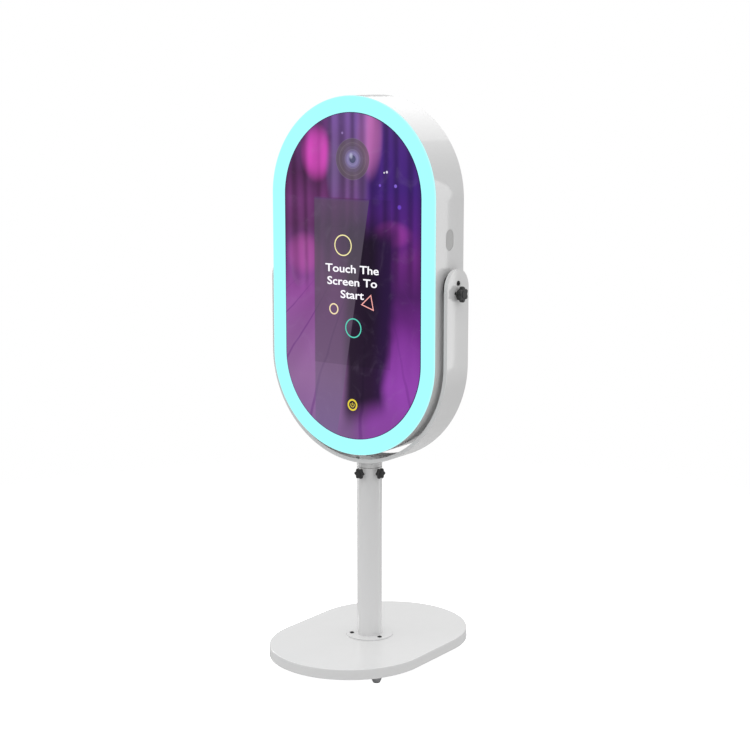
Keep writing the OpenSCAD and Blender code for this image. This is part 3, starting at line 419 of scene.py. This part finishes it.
def paintedMirrorReflection(name, inner, half, front):
    # half-silvered glass over a dark cavity, with a painted reflection of the hall in front of it;
    # the lens and the display are painted as showing faintly through, and the picture is painted glow
    f = Finish(name)
    x, y, z = f.xyz()
    u, v = x * 1000, (z - head.z) * 1000
    height = (v + rampReach) / (2 * rampReach)
    sway = f.noise(7, 2, 0.5)
    colour = f.mix(f.step(u + sway * 60, 20, 105), f.ramp(height, reflectedVenue["leftWall"]),
                   f.ramp(height, reflectedVenue["rightWall"]))

    # painted reflection of floor boards that run away to a point behind the hall
    vanishU, vanishV = reflectedVenue["vanish"]
    depth = (vanishV - v) / 1000
    lane = (u - vanishU) / 1000 / depth.over(0.02)
    board = f.add("ShaderNodeMath", {"operation": "FRACT"}, {0: lane * 3.1 + sway * 0.25 + 9})
    gap = (1 - f.step(board, 0.015, 0.05)).over(f.step(board, 0.965, 0.99))
    boardTone = f.noise(1, 2, 0.5, 0, f.add("ShaderNodeCombineXYZ", values={0: lane * 2.2, 1: depth * 0.6}))
    floorMask = 1 - f.step(v, -110, 30)
    colour = f.scaled(colour, 1 + (boardTone - 0.5) * floorMask * 0.9)
    colour = f.mix(gap * floorMask * 0.45, colour, rgb(reflectedVenue["plankGap"]))

    # painted reflection of hung cloth, its folds in painted shade, with painted pools of coloured light from
    # below on it
    fold = f.add("ShaderNodeTexWave", {"wave_type": "BANDS", "bands_direction": "X", "wave_profile": "SIN"},
                 {"Vector": f.stretched((1, 1, 0.07)), "Scale": 8, "Distortion": 5.5, "Detail": 2,
                  "Detail Scale": 1.4}, output=1)
    hung = f.step(v + sway * 40, -60, 90)
    # painted shade and highlight along the cloth's folds
    colour = f.scaled(colour, 1 + (fold - 0.5) * hung * 0.5)
    for cu, cv, wide, tall, code, strength in reflectedVenue["glows"]:
        away = ((u - cu) / wide) ** 2 + ((v - cv) / tall) ** 2
        colour = f.mix((1 - f.step(away, 0.05, 1.6)) * strength * (0.75 + fold * 0.35), colour, rgb(code))

    # unlit end of the hall
    jamb = f.step(u + sway * 24, -30, 12) * (1 - f.step(u + sway * 60 - v * 0.06, 150, 192))
    lintel = 1 - f.step(v + sway * 70, 130, 232)
    sill = f.step(v + sway * 40 - (u - 75) * 0.35, -392, -300)
    colour = f.mix(jamb * lintel * sill * 0.95, colour,
                   f.mix(f.step(u, 60, 130), rgb(reflectedVenue["dark"]), rgb(reflectedVenue["darkSide"])))
    # painted reflections of small lamps in the hall
    for cu, cv, radius, code in reflectedVenue["lampReflections"]:
        away = (((u - cu) ** 2 + (v - cv) ** 2) ** 0.5) / radius
        colour = f.mix((1 - f.step(away, 0.6, 1.1)) * 0.85, colour, rgb(code))

    # window glare across the display and over the camera
    edge = 58.7 + (v - 203) * 0.169
    glare = (1 - f.step(u - edge, -1.5, 1.5)) * f.step(u, -132, -126) * (1 - f.step(v, 216, 226))
    upper = f.step(v, 218, 226) * f.step(u, -88, -60) * (1 - f.step(u, 40, 70))
    colour = f.mix((glare * 0.72).over(upper * 0.6), colour,
                   f.scaled(f.ramp(height, reflectedVenue["glareTone"]), 0.9 + (fold - 0.5) * upper * 0.6 + sway * 0.2))

    # the display dims the glass in front of it
    cu, cv, wide, tall, lost = behind["display"]
    side = (abs(u - cu) - wide).over(abs(v - cv) - tall)
    colour = f.scaled(colour, 1 - (1 - f.step(side, -0.8, 0.8)) * lost)

    # lens and its dark shroud behind the glass
    cu, cv = behind["lens"]
    du, dv = u - cu, v - cv
    away = (du * du + dv * dv) ** 0.5
    colour = f.mix((1 - f.step(away, *behind["shroud"])) * 0.72, colour,
                   f.ramp(away / 60, [(share, rgb(code)) for share, code in behind["barrel"]]))
    # lens rims: the pale rings are painted highlights, the dark ones the rims' own tone
    for radius, code, share in behind["lensRings"]:
        colour = f.mix((1 - f.step(abs(away - radius), 0.3, 1.3)) * share, colour, rgb(code))
    # painted highlight on the lens glass
    shine = ((du + 5) ** 2 + ((dv - 9) / 1.4) ** 2) ** 0.5
    colour = f.mix((1 - f.step(shine, 2, 8)) * 0.5, colour, rgb(behind["shine"]))

    reach = ovalReach(x, z, half)
    colour = f.mix(f.step(reach, inner - 2.6, inner - 1.0) * 0.85, colour, rgb(reflectedVenue["rim"]))
    smear = f.step(f.noise(13, 5, 0.6, 1.4), 0.5, 0.8)
    colour = f.mix(smear * 0.05, colour, rgb(reflectedVenue["smear"]))
    # the painted picture glows from the front face, though the glass is no lamp
    facing = 1 - f.step(y, front + 0.0008, front + 0.0014)
    return f.surface(Base_Color=f.scaled(colour, 0.12), Roughness=0.07 + smear * 0.10,
                     Specular_IOR_Level=0.22, Emission_Color=f.scaled(colour, facing), Emission_Strength=0.93,
                     Normal=f.bump(smear, 0.00001, 0.1))


def glowing(name, code):
    # light drawn by the display: even, with the screen's fine rows in it
    f = Finish(name)
    z = f.xyz()[2]
    rows = f.add("ShaderNodeMath", {"operation": "SINE"}, {0: z * 9000})
    tone = f.mix(rows * 0.06 + 0.06, rgb(code), tuple(c * 0.8 for c in rgb(code)))
    return f.surface(Base_Color=f.scaled(tone, 0.2), Roughness=0.3 + rows * 0.02, Emission_Color=tone,
                     Emission_Strength=1, Specular_IOR_Level=0.1)


ovalHalf = (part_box("housing_shell")[1].z - head.z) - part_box("housing_shell")[1].x   # half of a straight side
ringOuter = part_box("diffuser_ring")[1].x
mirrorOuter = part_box("mirror_glass")[1].x
paints = {
    "white_paint": enamel("whiteEnamel", 0.82),
    "shell_paint": enamel("shellEnamel", 0.80, 0.3),
    "raw_steel": rolled("rolledSteel"),
    "black_steel": blackened("blackenedSteel"),
    "zinc_steel": plated("zincPlate"),
    "aluminium_bar": plated("millAluminium", 0.66, 0.34),
    "foot_rubber": gliding("greyGlide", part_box("foot_front_left")[0].z + 0.018),
    "nylon": moulded("naturalNylon", (0.72, 0.70, 0.64), 0.45, 0.2, 700),
    "dark_washer": moulded("fibreWasher", (0.035, 0.033, 0.032), 0.6, 0.5, 900),
    "black_plastic": moulded("blackMoulding", (0.018, 0.018, 0.019), 0.38, 0.3),
    "grey_plastic": moulded("greyMoulding", (0.62, 0.62, 0.615), 0.4, 0.2),
    "ring_diffuser": litRing("opalRing", (mirrorOuter + 0.0003) * 1000, ringOuter * 1000, ovalHalf),
    "led_board": boardFinish("lampBoard"),
    "two_way_mirror": paintedMirrorReflection("halfSilverGlassPaintedReflection", mirrorOuter * 1000, ovalHalf,
                                    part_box("mirror_glass")[0].y),
    "touch_film": glazed("touchFilm", (0.05, 0.055, 0.06)),
    "display": glazed("displayBlack", (0.012, 0.012, 0.016), 0.2),
    "lens_glass": glazed("coatedLens", (0.012, 0.016, 0.05), 0.02),
    "speaker_cone": coneFinish("paperCone"),
}
for node, obj in cadNodes.items():
    obj.data.materials.clear()
    obj.data.materials.append(paints[slotOf[node]])
print("finishes made:", len(paints))


# shaping helpers

def finished(bm, name, paint, standsFor=(), body=None, smooth=32):
    # turns a bmesh into a piece that rides with the nodes it stands for
    for face in bm.faces:
        face.smooth = True
    for edge in bm.edges:
        edge.smooth = len(edge.link_faces) == 2 and edge.calc_face_angle(0) < math.radians(smooth)
    mesh = bpy.data.meshes.new(name)
    bm.to_mesh(mesh)
    bm.free()
    mesh.materials.append(paint)
    obj = placed(name, mesh)
    # keeps wide faces flat beside their rounded edges
    flat = obj.modifiers.new("flatFaces", "WEIGHTED_NORMAL")
    flat.keep_sharp, flat.weight = True, 100
    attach(obj, body or bodyOf[standsFor[0]])
    if standsFor:
        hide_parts(*standsFor)


def merged(node):
    # one closed mesh from a copy of a CAD node's loose triangles
    bm = bmesh.new()
    bm.from_mesh(cadNodes[node].data)
    for layer in list(bm.loops.layers.float_vector):
        bm.loops.layers.float_vector.remove(layer)
    bmesh.ops.remove_doubles(bm, verts=bm.verts, dist=2e-6)
    bmesh.ops.dissolve_limit(bm, angle_limit=math.radians(0.6), verts=bm.verts, edges=bm.edges,
                             use_dissolve_boundaries=False)
    return bm


def sharpEdges(bm, where=lambda place: True):
    # edges with a corner over 35 degrees whose middle is in the right place
    return [edge for edge in bm.edges
            if len(edge.link_faces) == 2 and edge.calc_face_angle(0) > math.radians(35)
            and where((edge.verts[0].co + edge.verts[1].co) / 2)]


def rounded(bm, edges, width, segments):
    bmesh.ops.bevel(bm, geom=edges, offset=width, offset_type="OFFSET", affect="EDGES", segments=segments,
                    profile=0.5, material=-1, clamp_overlap=True, loop_slide=True)


def seat(origin, axis, across):
    # matrix that stands local Z on the axis and local X on the across direction
    up = Vector(axis).normalized()
    x = Vector(across).normalized()
    return Matrix.Translation(origin) @ Matrix((x, up.cross(x), up)).transposed().to_4x4()


def turned(bm, profile, steps):
    # spins a half profile of (radius, height) round Z
    verts = [bm.verts.new((r, 0, h)) for r, h in profile]
    edges = [bm.edges.new(pair) for pair in zip(verts, verts[1:])]
    bmesh.ops.spin(bm, geom=verts + edges, cent=(0, 0, 0), axis=(0, 0, 1), dvec=(0, 0, 0),
                   angle=math.tau, steps=steps, use_merge=True, use_duplicate=False)
    bmesh.ops.remove_doubles(bm, verts=bm.verts, dist=1e-6)
    bmesh.ops.recalc_face_normals(bm, faces=bm.faces)


def oval(bm, radius, y, cap=True):
    # stadium outline in the XZ plane round the head's centre, the straight sides upright
    segments = 192
    made = bmesh.ops.create_circle(bm, cap_ends=cap, segments=segments, radius=radius)["verts"]
    bmesh.ops.rotate(bm, verts=made, cent=(0, 0, 0), matrix=Matrix.Rotation(math.pi / segments, 3, "Z"))
    bmesh.ops.rotate(bm, verts=made, cent=(0, 0, 0), matrix=Matrix.Rotation(math.radians(90), 3, "X"))
    for vert in made:
        vert.co += Vector((0, y, head.z + math.copysign(ovalHalf, vert.co.z)))


def poured(source, target):
    # adds the first bmesh to the second
    mesh = bpy.data.meshes.new("hold")
    source.to_mesh(mesh)
    source.free()
    target.from_mesh(mesh)
    bpy.data.meshes.remove(mesh)


def raised(bm, faces, offset):
    # gives faces a thickness by pushing a copy of them along offset
    made = bmesh.ops.extrude_face_region(bm, geom=faces)["geom"]
    bmesh.ops.translate(bm, vec=offset, verts=[g for g in made if isinstance(g, bmesh.types.BMVert)])
    bmesh.ops.recalc_face_normals(bm, faces=bm.faces)


# sheet and machined parts kept from the CAD, with their edges broken

softened = {                        # node: edge radius in millimetres, segments
    "base_plate": (0.5, 2), "ballast_plate": (0.8, 2), "pole_anchor": (0.6, 2), "pole_flange": (0.7, 3),
    "clamp_bosses": (0.5, 2), "swivel_spigot": (0.35, 2), "tilt_hubs": (1.0, 3), "tilt_washers": (0.15, 2),
    "side_plugs": (0.9, 3), "rear_door": (0.45, 2), "door_leaves": (0.35, 2), "hinge_leaves": (0.35, 2),
    "inlet_plate": (0.3, 2), "mains_inlet": (0.25, 2), "rocker_frame": (0.25, 2), "power_rocker": (0.35, 2),
    "fan_frame": (0.3, 2), "chassis_frame": (0.5, 2), "mini_computer": (0.6, 2), "power_supply": (0.5, 2),
    "camera_body": (1.2, 2), "lcd_panel": (0.4, 2), "lock_barrel": (0.25, 2), "lock_cam": (0.2, 2),
    "pivot_plates": (0.4, 2),
}


def softenNodes():
    for node, (radius, segments) in softened.items():
        bm = merged(node)
        rounded(bm, sharpEdges(bm), radius * mm, segments)
        finished(bm, node + "Soft", paints[slotOf[node]], [node])


softenNodes()
print("softened parts:", len(softened))


# base cover: pressed sheet with a rolled top edge

coverEdge = {"radius": 2.6, "segments": 5, "straight": 97.5, "inside": 200}


def makeBaseCover():
    bm = merged("base_cover")
    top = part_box("base_cover")[1].z

    def onRim(p):
        reach = math.hypot(p.x, max(0, abs(p.y) - coverEdge["straight"] * mm))
        return p.z > top - 0.0002 and reach > coverEdge["inside"] * mm

    rounded(bm, sharpEdges(bm, onRim), coverEdge["radius"] * mm, coverEdge["segments"])
    finished(bm, "baseCoverPressed", paints["white_paint"], ["base_cover"])


makeBaseCover()
print("base made")


# head shell: rolled side with folded back edge

shellEdge = {"back": 1.6, "front": 0.5}


def makeShell():
    bm = merged("housing_shell")
    low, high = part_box("housing_shell")

    def onRim(p, y):
        reach = math.hypot(p.x, max(0, abs(p.z - head.z) - ovalHalf))
        return abs(p.y - y) < 0.0002 and reach > high.x - 0.0004

    rounded(bm, sharpEdges(bm, lambda p: onRim(p, high.y)), shellEdge["back"] * mm, 4)
    rounded(bm, sharpEdges(bm, lambda p: onRim(p, low.y)), shellEdge["front"] * mm, 2)
    finished(bm, "shellRolled", paints["shell_paint"], ["housing_shell"])


makeShell()
print("shell made")


# yoke: folded channel bent round the head

yokeEdge = {"fold": 2.0, "segments": 4, "armEnd": 54.5, "clampHole": 45}


def makeYoke():
    bm = merged("yoke_band")
    low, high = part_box("yoke_band")
    centre = (low + high) / 2
    arcZ = low.z + high.x

    def outside(p):
        reach = math.hypot(p.x, min(0, p.z - arcZ))
        onEdge = abs(p.y - low.y) < 0.0003 or abs(p.y - high.y) < 0.0003
        return reach > high.x - 0.0006 and (onEdge or p.z > high.z - yokeEdge["armEnd"] * mm)

    def byHole(v):
        return math.hypot(v.co.y - centre.y, v.co.z - head.z) < yokeEdge["clampHole"] * mm

    fold = [e for e in sharpEdges(bm, outside) if not all(byHole(v) for v in e.verts)]
    rounded(bm, fold, yokeEdge["fold"] * mm, yokeEdge["segments"])
    finished(bm, "yokeFolded", paints["white_paint"], ["yoke_band"])


makeYoke()
print("yoke made")


# mirror and ring light

glass = {"edge": 0.8, "ringEdge": 1.2, "gap": 0.3}


def makeGlass():
    low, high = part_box("mirror_glass")
    bm = bmesh.new()
    oval(bm, high.x, high.y)
    raised(bm, bm.faces[:], (0, low.y - high.y, 0))
    rounded(bm, sharpEdges(bm), glass["edge"] * mm, 3)
    finished(bm, "mirrorPlate", paints["two_way_mirror"], ["mirror_glass"])

    low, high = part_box("diffuser_ring")
    bm = bmesh.new()
    oval(bm, high.x, high.y, cap=False)
    oval(bm, mirrorOuter + glass["gap"] * mm, high.y, cap=False)
    bmesh.ops.bridge_loops(bm, edges=bm.edges[:])
    raised(bm, bm.faces[:], (0, low.y - high.y, 0))
    rounded(bm, sharpEdges(bm, lambda p: p.y < low.y + 0.0001), glass["ringEdge"] * mm, 3)
    finished(bm, "ringOpal", paints["ring_diffuser"], ["diffuser_ring"])


makeGlass()
print("mirror and ring made")


# what the display shows, laid on the glass

shown = {
    "depth": 0.25, "textSize": 31.5, "textWeight": 0.45, "textWide": 1.32, "lineGap": 1.15,
    "textMiddle": (2, -11.8),
    "rings": {                       # middle, outer radius, line, colour
        "paleRing": ((-28.5, 90.6), 30, 3.2, "f3e9a8"),
        "creamRing": ((-61.5, -91), 16, 3.6, "f2dfb0"),
        "tealRing": ((6.5, -140.5), 28, 3.4, "58cbb4"),
        "switchRing": ((3, -360.5), 17, 5.0, "dcc840"),
    },
    "triangle": ((59.5, -66.5), 27, 2.8, "f3a9a4", -18),
    "switch": {"bar": (2, 8), "up": 3, "loop": 7, "inner": 0.72, "gap": 1.6},
}


def glassPoint(u, v, front):
    return Vector((u * mm, front, head.z + v * mm))


def makeScreenMarks():
    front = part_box("mirror_glass")[0].y
    deep = shown["depth"] * mm
    upright = Matrix.Rotation(math.radians(90), 4, "X")

    def outline(u, v, radius, line, sides, turn, name, paint):
        bm = bmesh.new()
        bmesh.ops.create_circle(bm, cap_ends=True, segments=sides, radius=radius * mm)
        bmesh.ops.inset_region(bm, faces=bm.faces[:], thickness=line * mm, use_even_offset=True,
                               use_boundary=True)
        inner = [face for face in bm.faces
                 if len(face.verts) == sides and face.calc_center_median().length < 1e-6
                 and max(vert.co.length for vert in face.verts) < (radius - 0.5 * line) * mm]
        bmesh.ops.delete(bm, geom=inner, context="FACES")
        bmesh.ops.transform(bm, verts=bm.verts, matrix=Matrix.Translation(glassPoint(u, v, front)) @ upright
                            @ Matrix.Rotation(math.radians(turn), 4, "Z"))
        raised(bm, bm.faces[:], (0, -deep, 0))
        finished(bm, name, paint, body="head")

    for name, ((u, v), radius, line, code) in shown["rings"].items():
        outline(u, v, radius, line, 72, 0, name, glowing(name + "Light", code))
    (u, v), radius, line, code, turn = shown["triangle"]
    outline(u, v, radius, line, 3, turn, "roseTriangle", glowing("roseLight", code))

    # switch mark inside the lowest ring: an upright bar in an open loop
    (u, v), _, _, code = shown["rings"]["switchRing"]
    mark = shown["switch"]
    wide, tall = mark["bar"]
    bm = bmesh.new()
    bmesh.ops.create_cube(bm, size=1, matrix=Matrix.Translation(glassPoint(u, v + mark["up"], front - deep / 2))
                          @ Matrix.Diagonal((wide * mm, deep, tall * mm, 1)))
    start = glassPoint(u, v, front)
    gap, loop, inner = mark["gap"], mark["loop"] * mm, mark["inner"]
    profile = [bm.verts.new(start + Vector((loop * math.sin(gap / 2) * s, d, loop * math.cos(gap / 2) * s)))
               for s, d in ((1, 0), (1, -deep), (inner, -deep), (inner, 0))]
    edges = [bm.edges.new((profile[i], profile[i - 1])) for i in range(4)]
    bmesh.ops.spin(bm, geom=profile + edges, cent=start, axis=(0, 1, 0), dvec=(0, 0, 0),
                   angle=math.tau - gap, steps=28)
    bmesh.ops.holes_fill(bm, edges=bm.edges, sides=4)
    bmesh.ops.recalc_face_normals(bm, faces=bm.faces)
    finished(bm, "switchMark", glowing("switchLight", code), body="head")

    curve = bpy.data.curves.new("startWords", "FONT")
    curve.body = "Touch The\nScreen To\nStart"
    curve.align_x, curve.align_y = "CENTER", "CENTER"
    curve.size, curve.space_line = shown["textSize"] * mm, shown["lineGap"]
    curve.offset, curve.extrude = shown["textWeight"] * mm, deep / 2
    curve.resolution_u = 4
    words = bpy.data.objects.new("startWords", curve)
    bm = bmesh.new()
    bm.from_mesh(bpy.data.meshes.new_from_object(words))
    bmesh.ops.remove_doubles(bm, verts=bm.verts, dist=1e-6)
    u, v = shown["textMiddle"]
    bmesh.ops.transform(bm, verts=bm.verts, matrix=Matrix.Translation(glassPoint(u, v, front - deep / 2))
                        @ upright @ Matrix.Diagonal((shown["textWide"], 1, 1, 1)))
    finished(bm, "startWords", glowing("whiteLight", "fbfaff"), body="head")
    bpy.data.objects.remove(words)


makeScreenMarks()
print("display marks made")


# pole and feet

pole = {"edge": 0.4, "wall": 2.5, "ringAt": 250}
foot = {"profile": ((0, 0), (8.6, 0), (9.6, 0.35), (10, 1), (11.2, 4.0), (11.2, 4.4), (11.9, 4.6), (12.5, 6.6),
                    (12.3, 7.0), (13.1, 7.3), (14.6, 12.0), (15, 12.9), (15, 15.6), (14.7, 16.3), (13, 17.8),
                    (12.6, 18), (6.2, 18), (6.2, 19), (5, 19), (5, 40.6), (4.6, 41), (0, 41))}


def makePole():
    low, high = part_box("pole_tube")
    outer, inner, e = high.x, high.x - pole["wall"] * mm, pole["edge"] * mm
    bm = bmesh.new()
    turned(bm, [(inner, low.z), (outer - e, low.z), (outer, low.z + e), (outer, low.z + pole["ringAt"] * mm),
                (outer, high.z - e), (outer - 0.3 * e, high.z - 0.3 * e), (outer - e, high.z),
                (inner, high.z), (inner, low.z)], 128)
    finished(bm, "poleTube", paints["white_paint"], ["pole_tube"])


def makeFeet():
    for node in [n for n in cadNodes if n.startswith("foot_")]:
        spot = middle(node)
        bm = bmesh.new()
        turned(bm, [(r * mm, h * mm) for r, h in foot["profile"]], 64)
        bmesh.ops.translate(bm, vec=(spot.x, spot.y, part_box(node)[0].z), verts=bm.verts)
        finished(bm, node + "Glide", paints["foot_rubber"], [node], smooth=40)


makePole()
makeFeet()
print("pole and feet made")


# screws with domed heads and hex sockets

def hexScrew(bm, matrix, radius, height, socket, depth, shank, length):
    # stands on local Z = 0 with its shank below
    own = bmesh.new()
    dome = [(radius * math.cos(a), 0.35 * height + 0.65 * height * math.sin(a))
            for a in (0, 0.35, 0.7, 1.0)]
    turned(own, [(shank, -length), (shank, 0), (radius, 0)] + dome, 36)
    rim = [e for e in own.edges if e.is_boundary and min(v.co.z for v in e.verts) > 0]
    hexagon = bmesh.ops.create_circle(own, cap_ends=False, segments=6, radius=socket,
                                      matrix=Matrix.Translation((0, 0, dome[-1][1] + 0.02 * height)))["verts"]
    hexEdges = list({e for v in hexagon for e in v.link_edges})
    bmesh.ops.bridge_loops(own, edges=rim + hexEdges)
    down = bmesh.ops.extrude_edge_only(own, edges=hexEdges)["geom"]
    bmesh.ops.translate(own, vec=(0, 0, -depth), verts=[g for g in down if isinstance(g, bmesh.types.BMVert)])
    bmesh.ops.holes_fill(own, edges=[e for e in own.edges if e.is_boundary], sides=40)
    bmesh.ops.recalc_face_normals(own, faces=own.faces)
    bmesh.ops.transform(own, matrix=matrix, verts=own.verts)
    poured(own, bm)


def islands(node):
    # low and high corners of each separate solid in a CAD node
    bm = merged(node)
    left, found = set(bm.verts), []
    while left:
        queue, seen = [left.pop()], []
        while queue:
            vert = queue.pop()
            seen.append(vert.co.copy())
            for edge in vert.link_edges:
                other = edge.other_vert(vert)
                if other in left:
                    left.remove(other)
                    queue.append(other)
        found.append((Vector(map(min, *seen)), Vector(map(max, *seen))))
    bm.free()
    return found


screws = {
    "flange_screws": {"axis": (0, 0, 1), "head": 6.4, "height": 3.0, "socket": 2.9, "shank": 4.0},
    "base_screws": {"axis": (0, 0, -1), "head": 5.0, "height": 1.49, "socket": 2.2, "shank": 2.5},
    "yoke_screws": {"axis": (0, 0, 1), "head": 5.5, "height": 3.0, "socket": 2.5, "shank": 3.0},
}
yokeScrews = {"spread": 24, "sheet": 2.5, "length": 10}      # square to the sheet's curve
pivotScrews = {"height": 4, "socket": 3, "depth": 2.5, "shank": 5, "length": 6}


def makeScrews():
    for node, s in screws.items():
        bm = bmesh.new()
        for low, high in islands(node):
            axis = Vector(s["axis"])
            mid = (low + high) / 2
            if node == "yoke_screws":
                spread = yokeScrews["spread"] * mm
                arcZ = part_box("yoke_band")[0].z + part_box("yoke_band")[1].x
                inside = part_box("yoke_band")[1].x - yokeScrews["sheet"] * mm
                turn = math.copysign(math.asin(spread / inside), mid.x)
                axis = Vector((-math.sin(turn), 0, math.cos(turn)))
                origin = Vector((0, math.copysign(spread, mid.y), arcZ)) - axis * inside
                length = yokeScrews["length"] * mm
            else:
                tip = high.z - s["height"] * mm if axis.z > 0 else low.z + s["height"] * mm
                origin = Vector((mid.x, mid.y, tip))
                length = (high.z - low.z) - s["height"] * mm
            hexScrew(bm, seat(origin, axis, Vector((0, 1, 0)).cross(axis)), s["head"] * mm, s["height"] * mm,
                     s["socket"] * mm, 0.6 * s["height"] * mm, s["shank"] * mm, length)
        finished(bm, node + "Hex", paints[slotOf[node]], [node])
    low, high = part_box("tilt_pivot_screws")
    height, socket, depth, shank, length = (value * mm for value in pivotScrews.values())
    bm = bmesh.new()
    for side in (1, -1):
        spot = Vector((side * (high.x - height), (low.y + high.y) / 2, (low.z + high.z) / 2))
        hexScrew(bm, seat(spot, (side, 0, 0), (0, 0, 1)), (high.z - low.z) / 2, height, socket, depth,
                 shank, length)
    finished(bm, "pivotScrewsHex", paints["black_steel"], ["tilt_pivot_screws"])


makeScrews()
print("screws made")


# lobed clamp knobs

knob = {
    "bite": 0.115,                   # depth of the valleys between lobes, as a share of the width
    "lift": ((0.86, 0.0), (0.95, 0.05), (0.985, 0.13), (1.0, 0.26), (1.0, 0.74), (0.985, 0.86), (0.94, 0.95),
             (0.86, 1.0), (0.62, 1.0), (0.585, 0.97)),    # share of width and of height, upwards
    "cap": 0.24, "neck": 0.3,        # radii as shares of the width
    "lobes": 6, "washer": 1.6, "stud": 4,
}
knobSizes = {                        # width, neck, grip height and stud in millimetres
    "tilt_knob_right": (44, 5, 13, 16), "tilt_knob_left": (44, 5, 13, 16),
    "pole_knob_front": (32, 3, 9, 12), "pole_knob_side": (32, 3, 9, 12),
}


def makeKnobs():
    for node, (width, neck, grip, studLength) in knobSizes.items():
        joint = jointOf[node]
        axis = Vector(joint["axis"])
        across = Vector((0, 0, 1)) if abs(axis.x) > 0.99 else Vector((0, 0, 1)).cross(axis)
        base = Vector(joint["pos_m"]) + axis * knob["washer"] * mm
        own = bmesh.new()
        ring = bmesh.ops.create_circle(own, cap_ends=False, segments=144, radius=width / 2 * mm)["verts"]
        for vert in ring:
            turn = math.atan2(vert.co.y, vert.co.x)
            valley = (0.5 - 0.5 * math.cos(knob["lobes"] * turn)) ** 1.25
            vert.co *= 1 - 2 * knob["bite"] * valley
        outline = [vert.co.copy() for vert in ring]
        edges = own.edges[:]
        for i, (share, rise) in enumerate(knob["lift"]):
            if i:
                made = bmesh.ops.extrude_edge_only(own, edges=edges)["geom"]
                ring = [g for g in made if isinstance(g, bmesh.types.BMVert)]
                edges = [g for g in made if isinstance(g, bmesh.types.BMEdge)]
            roundness = min(1, max(0, (0.9 - share) * 4)) if rise > 0.5 else 0
            for vert in ring:
                flat = Vector((vert.co.x, vert.co.y, 0)).normalized()
                lobed = min(outline, key=lambda p: (p.normalized() - flat).length).length
                even = width / 2 * mm * (1 - knob["bite"])
                vert.co = flat * (lobed * (1 - roundness) + even * roundness) * share
                vert.co.z = (neck + grip * rise) * mm
        made = bmesh.ops.extrude_edge_only(own, edges=edges)["geom"]
        for vert in [g for g in made if isinstance(g, bmesh.types.BMVert)]:
            vert.co.z -= 0.6 * mm
        bmesh.ops.holes_fill(own, edges=[e for e in own.edges if e.is_boundary], sides=200)
        bmesh.ops.recalc_face_normals(own, faces=own.faces)
        capR, neckR = knob["cap"] * width * mm, knob["neck"] * width * mm
        top = (neck + grip) * mm
        cap = bmesh.new()
        turned(cap, [(0, top + 1.49 * mm), (0.72 * capR, top + 1.35 * mm), (0.93 * capR, top + 0.9 * mm),
                     (capR, top + 0.2 * mm), (capR, top - 1.2 * mm), (0, top - 1.2 * mm)], 48)
        turned(cap, [(0, 0), (0.94 * neckR, 0), (neckR, 0.4 * mm), (neckR, neck * mm - 0.4 * mm),
                     (1.08 * neckR, neck * mm + 0.3 * mm), (0, neck * mm + 0.3 * mm)], 48)
        poured(cap, own)
        bmesh.ops.transform(own, matrix=seat(base, axis, across), verts=own.verts)
        finished(own, node + "Lobed", paints["black_plastic"], [node])

        reach, thick = studLength * mm, knob["stud"] * mm
        stud = bmesh.new()
        turned(stud, [(0, -reach), (0.8 * thick, -reach), (thick, -reach + 0.2 * thick), (thick, 0),
                      (0, 0)], 32)
        bmesh.ops.transform(stud, matrix=seat(base, axis, across), verts=stud.verts)
        finished(stud, node + "Stud", paints["zinc_steel"], body=node)


makeKnobs()
print("knobs made")


# floor

def makeFloor():
    bm = bmesh.new()
    bmesh.ops.create_circle(bm, cap_ends=True, segments=96, radius=studio["floor"])
    mesh = bpy.data.meshes.new("studioFloor")
    bm.to_mesh(mesh)
    bm.free()
    obj = placed("studioFloor", mesh)
    f = Finish("paleFloor")
    cloud = f.noise(0.8, 3)
    x, y, _ = f.xyz()
    away = (x * x + y * y) ** 0.5
    tone = studio["floorTone"]
    seen = f.add("ShaderNodeLightPath")         # 1 for the camera alone, which sees the backdrop's white
    mesh.materials.append(f.surface(Base_Color=f.mix(cloud, (tone - 0.02,) * 3, (tone + 0.02,) * 3),
                                    Roughness=0.6 + cloud * 0.1, Emission_Color=f.scaled((1, 1, 1), seen),
                                    Alpha=1 - f.step(away, studio["floorFade"], studio["floor"]),
                                    Emission_Strength=studio["backdrop"], Specular_IOR_Level=0.2))


makeFloor()
print("floor made")
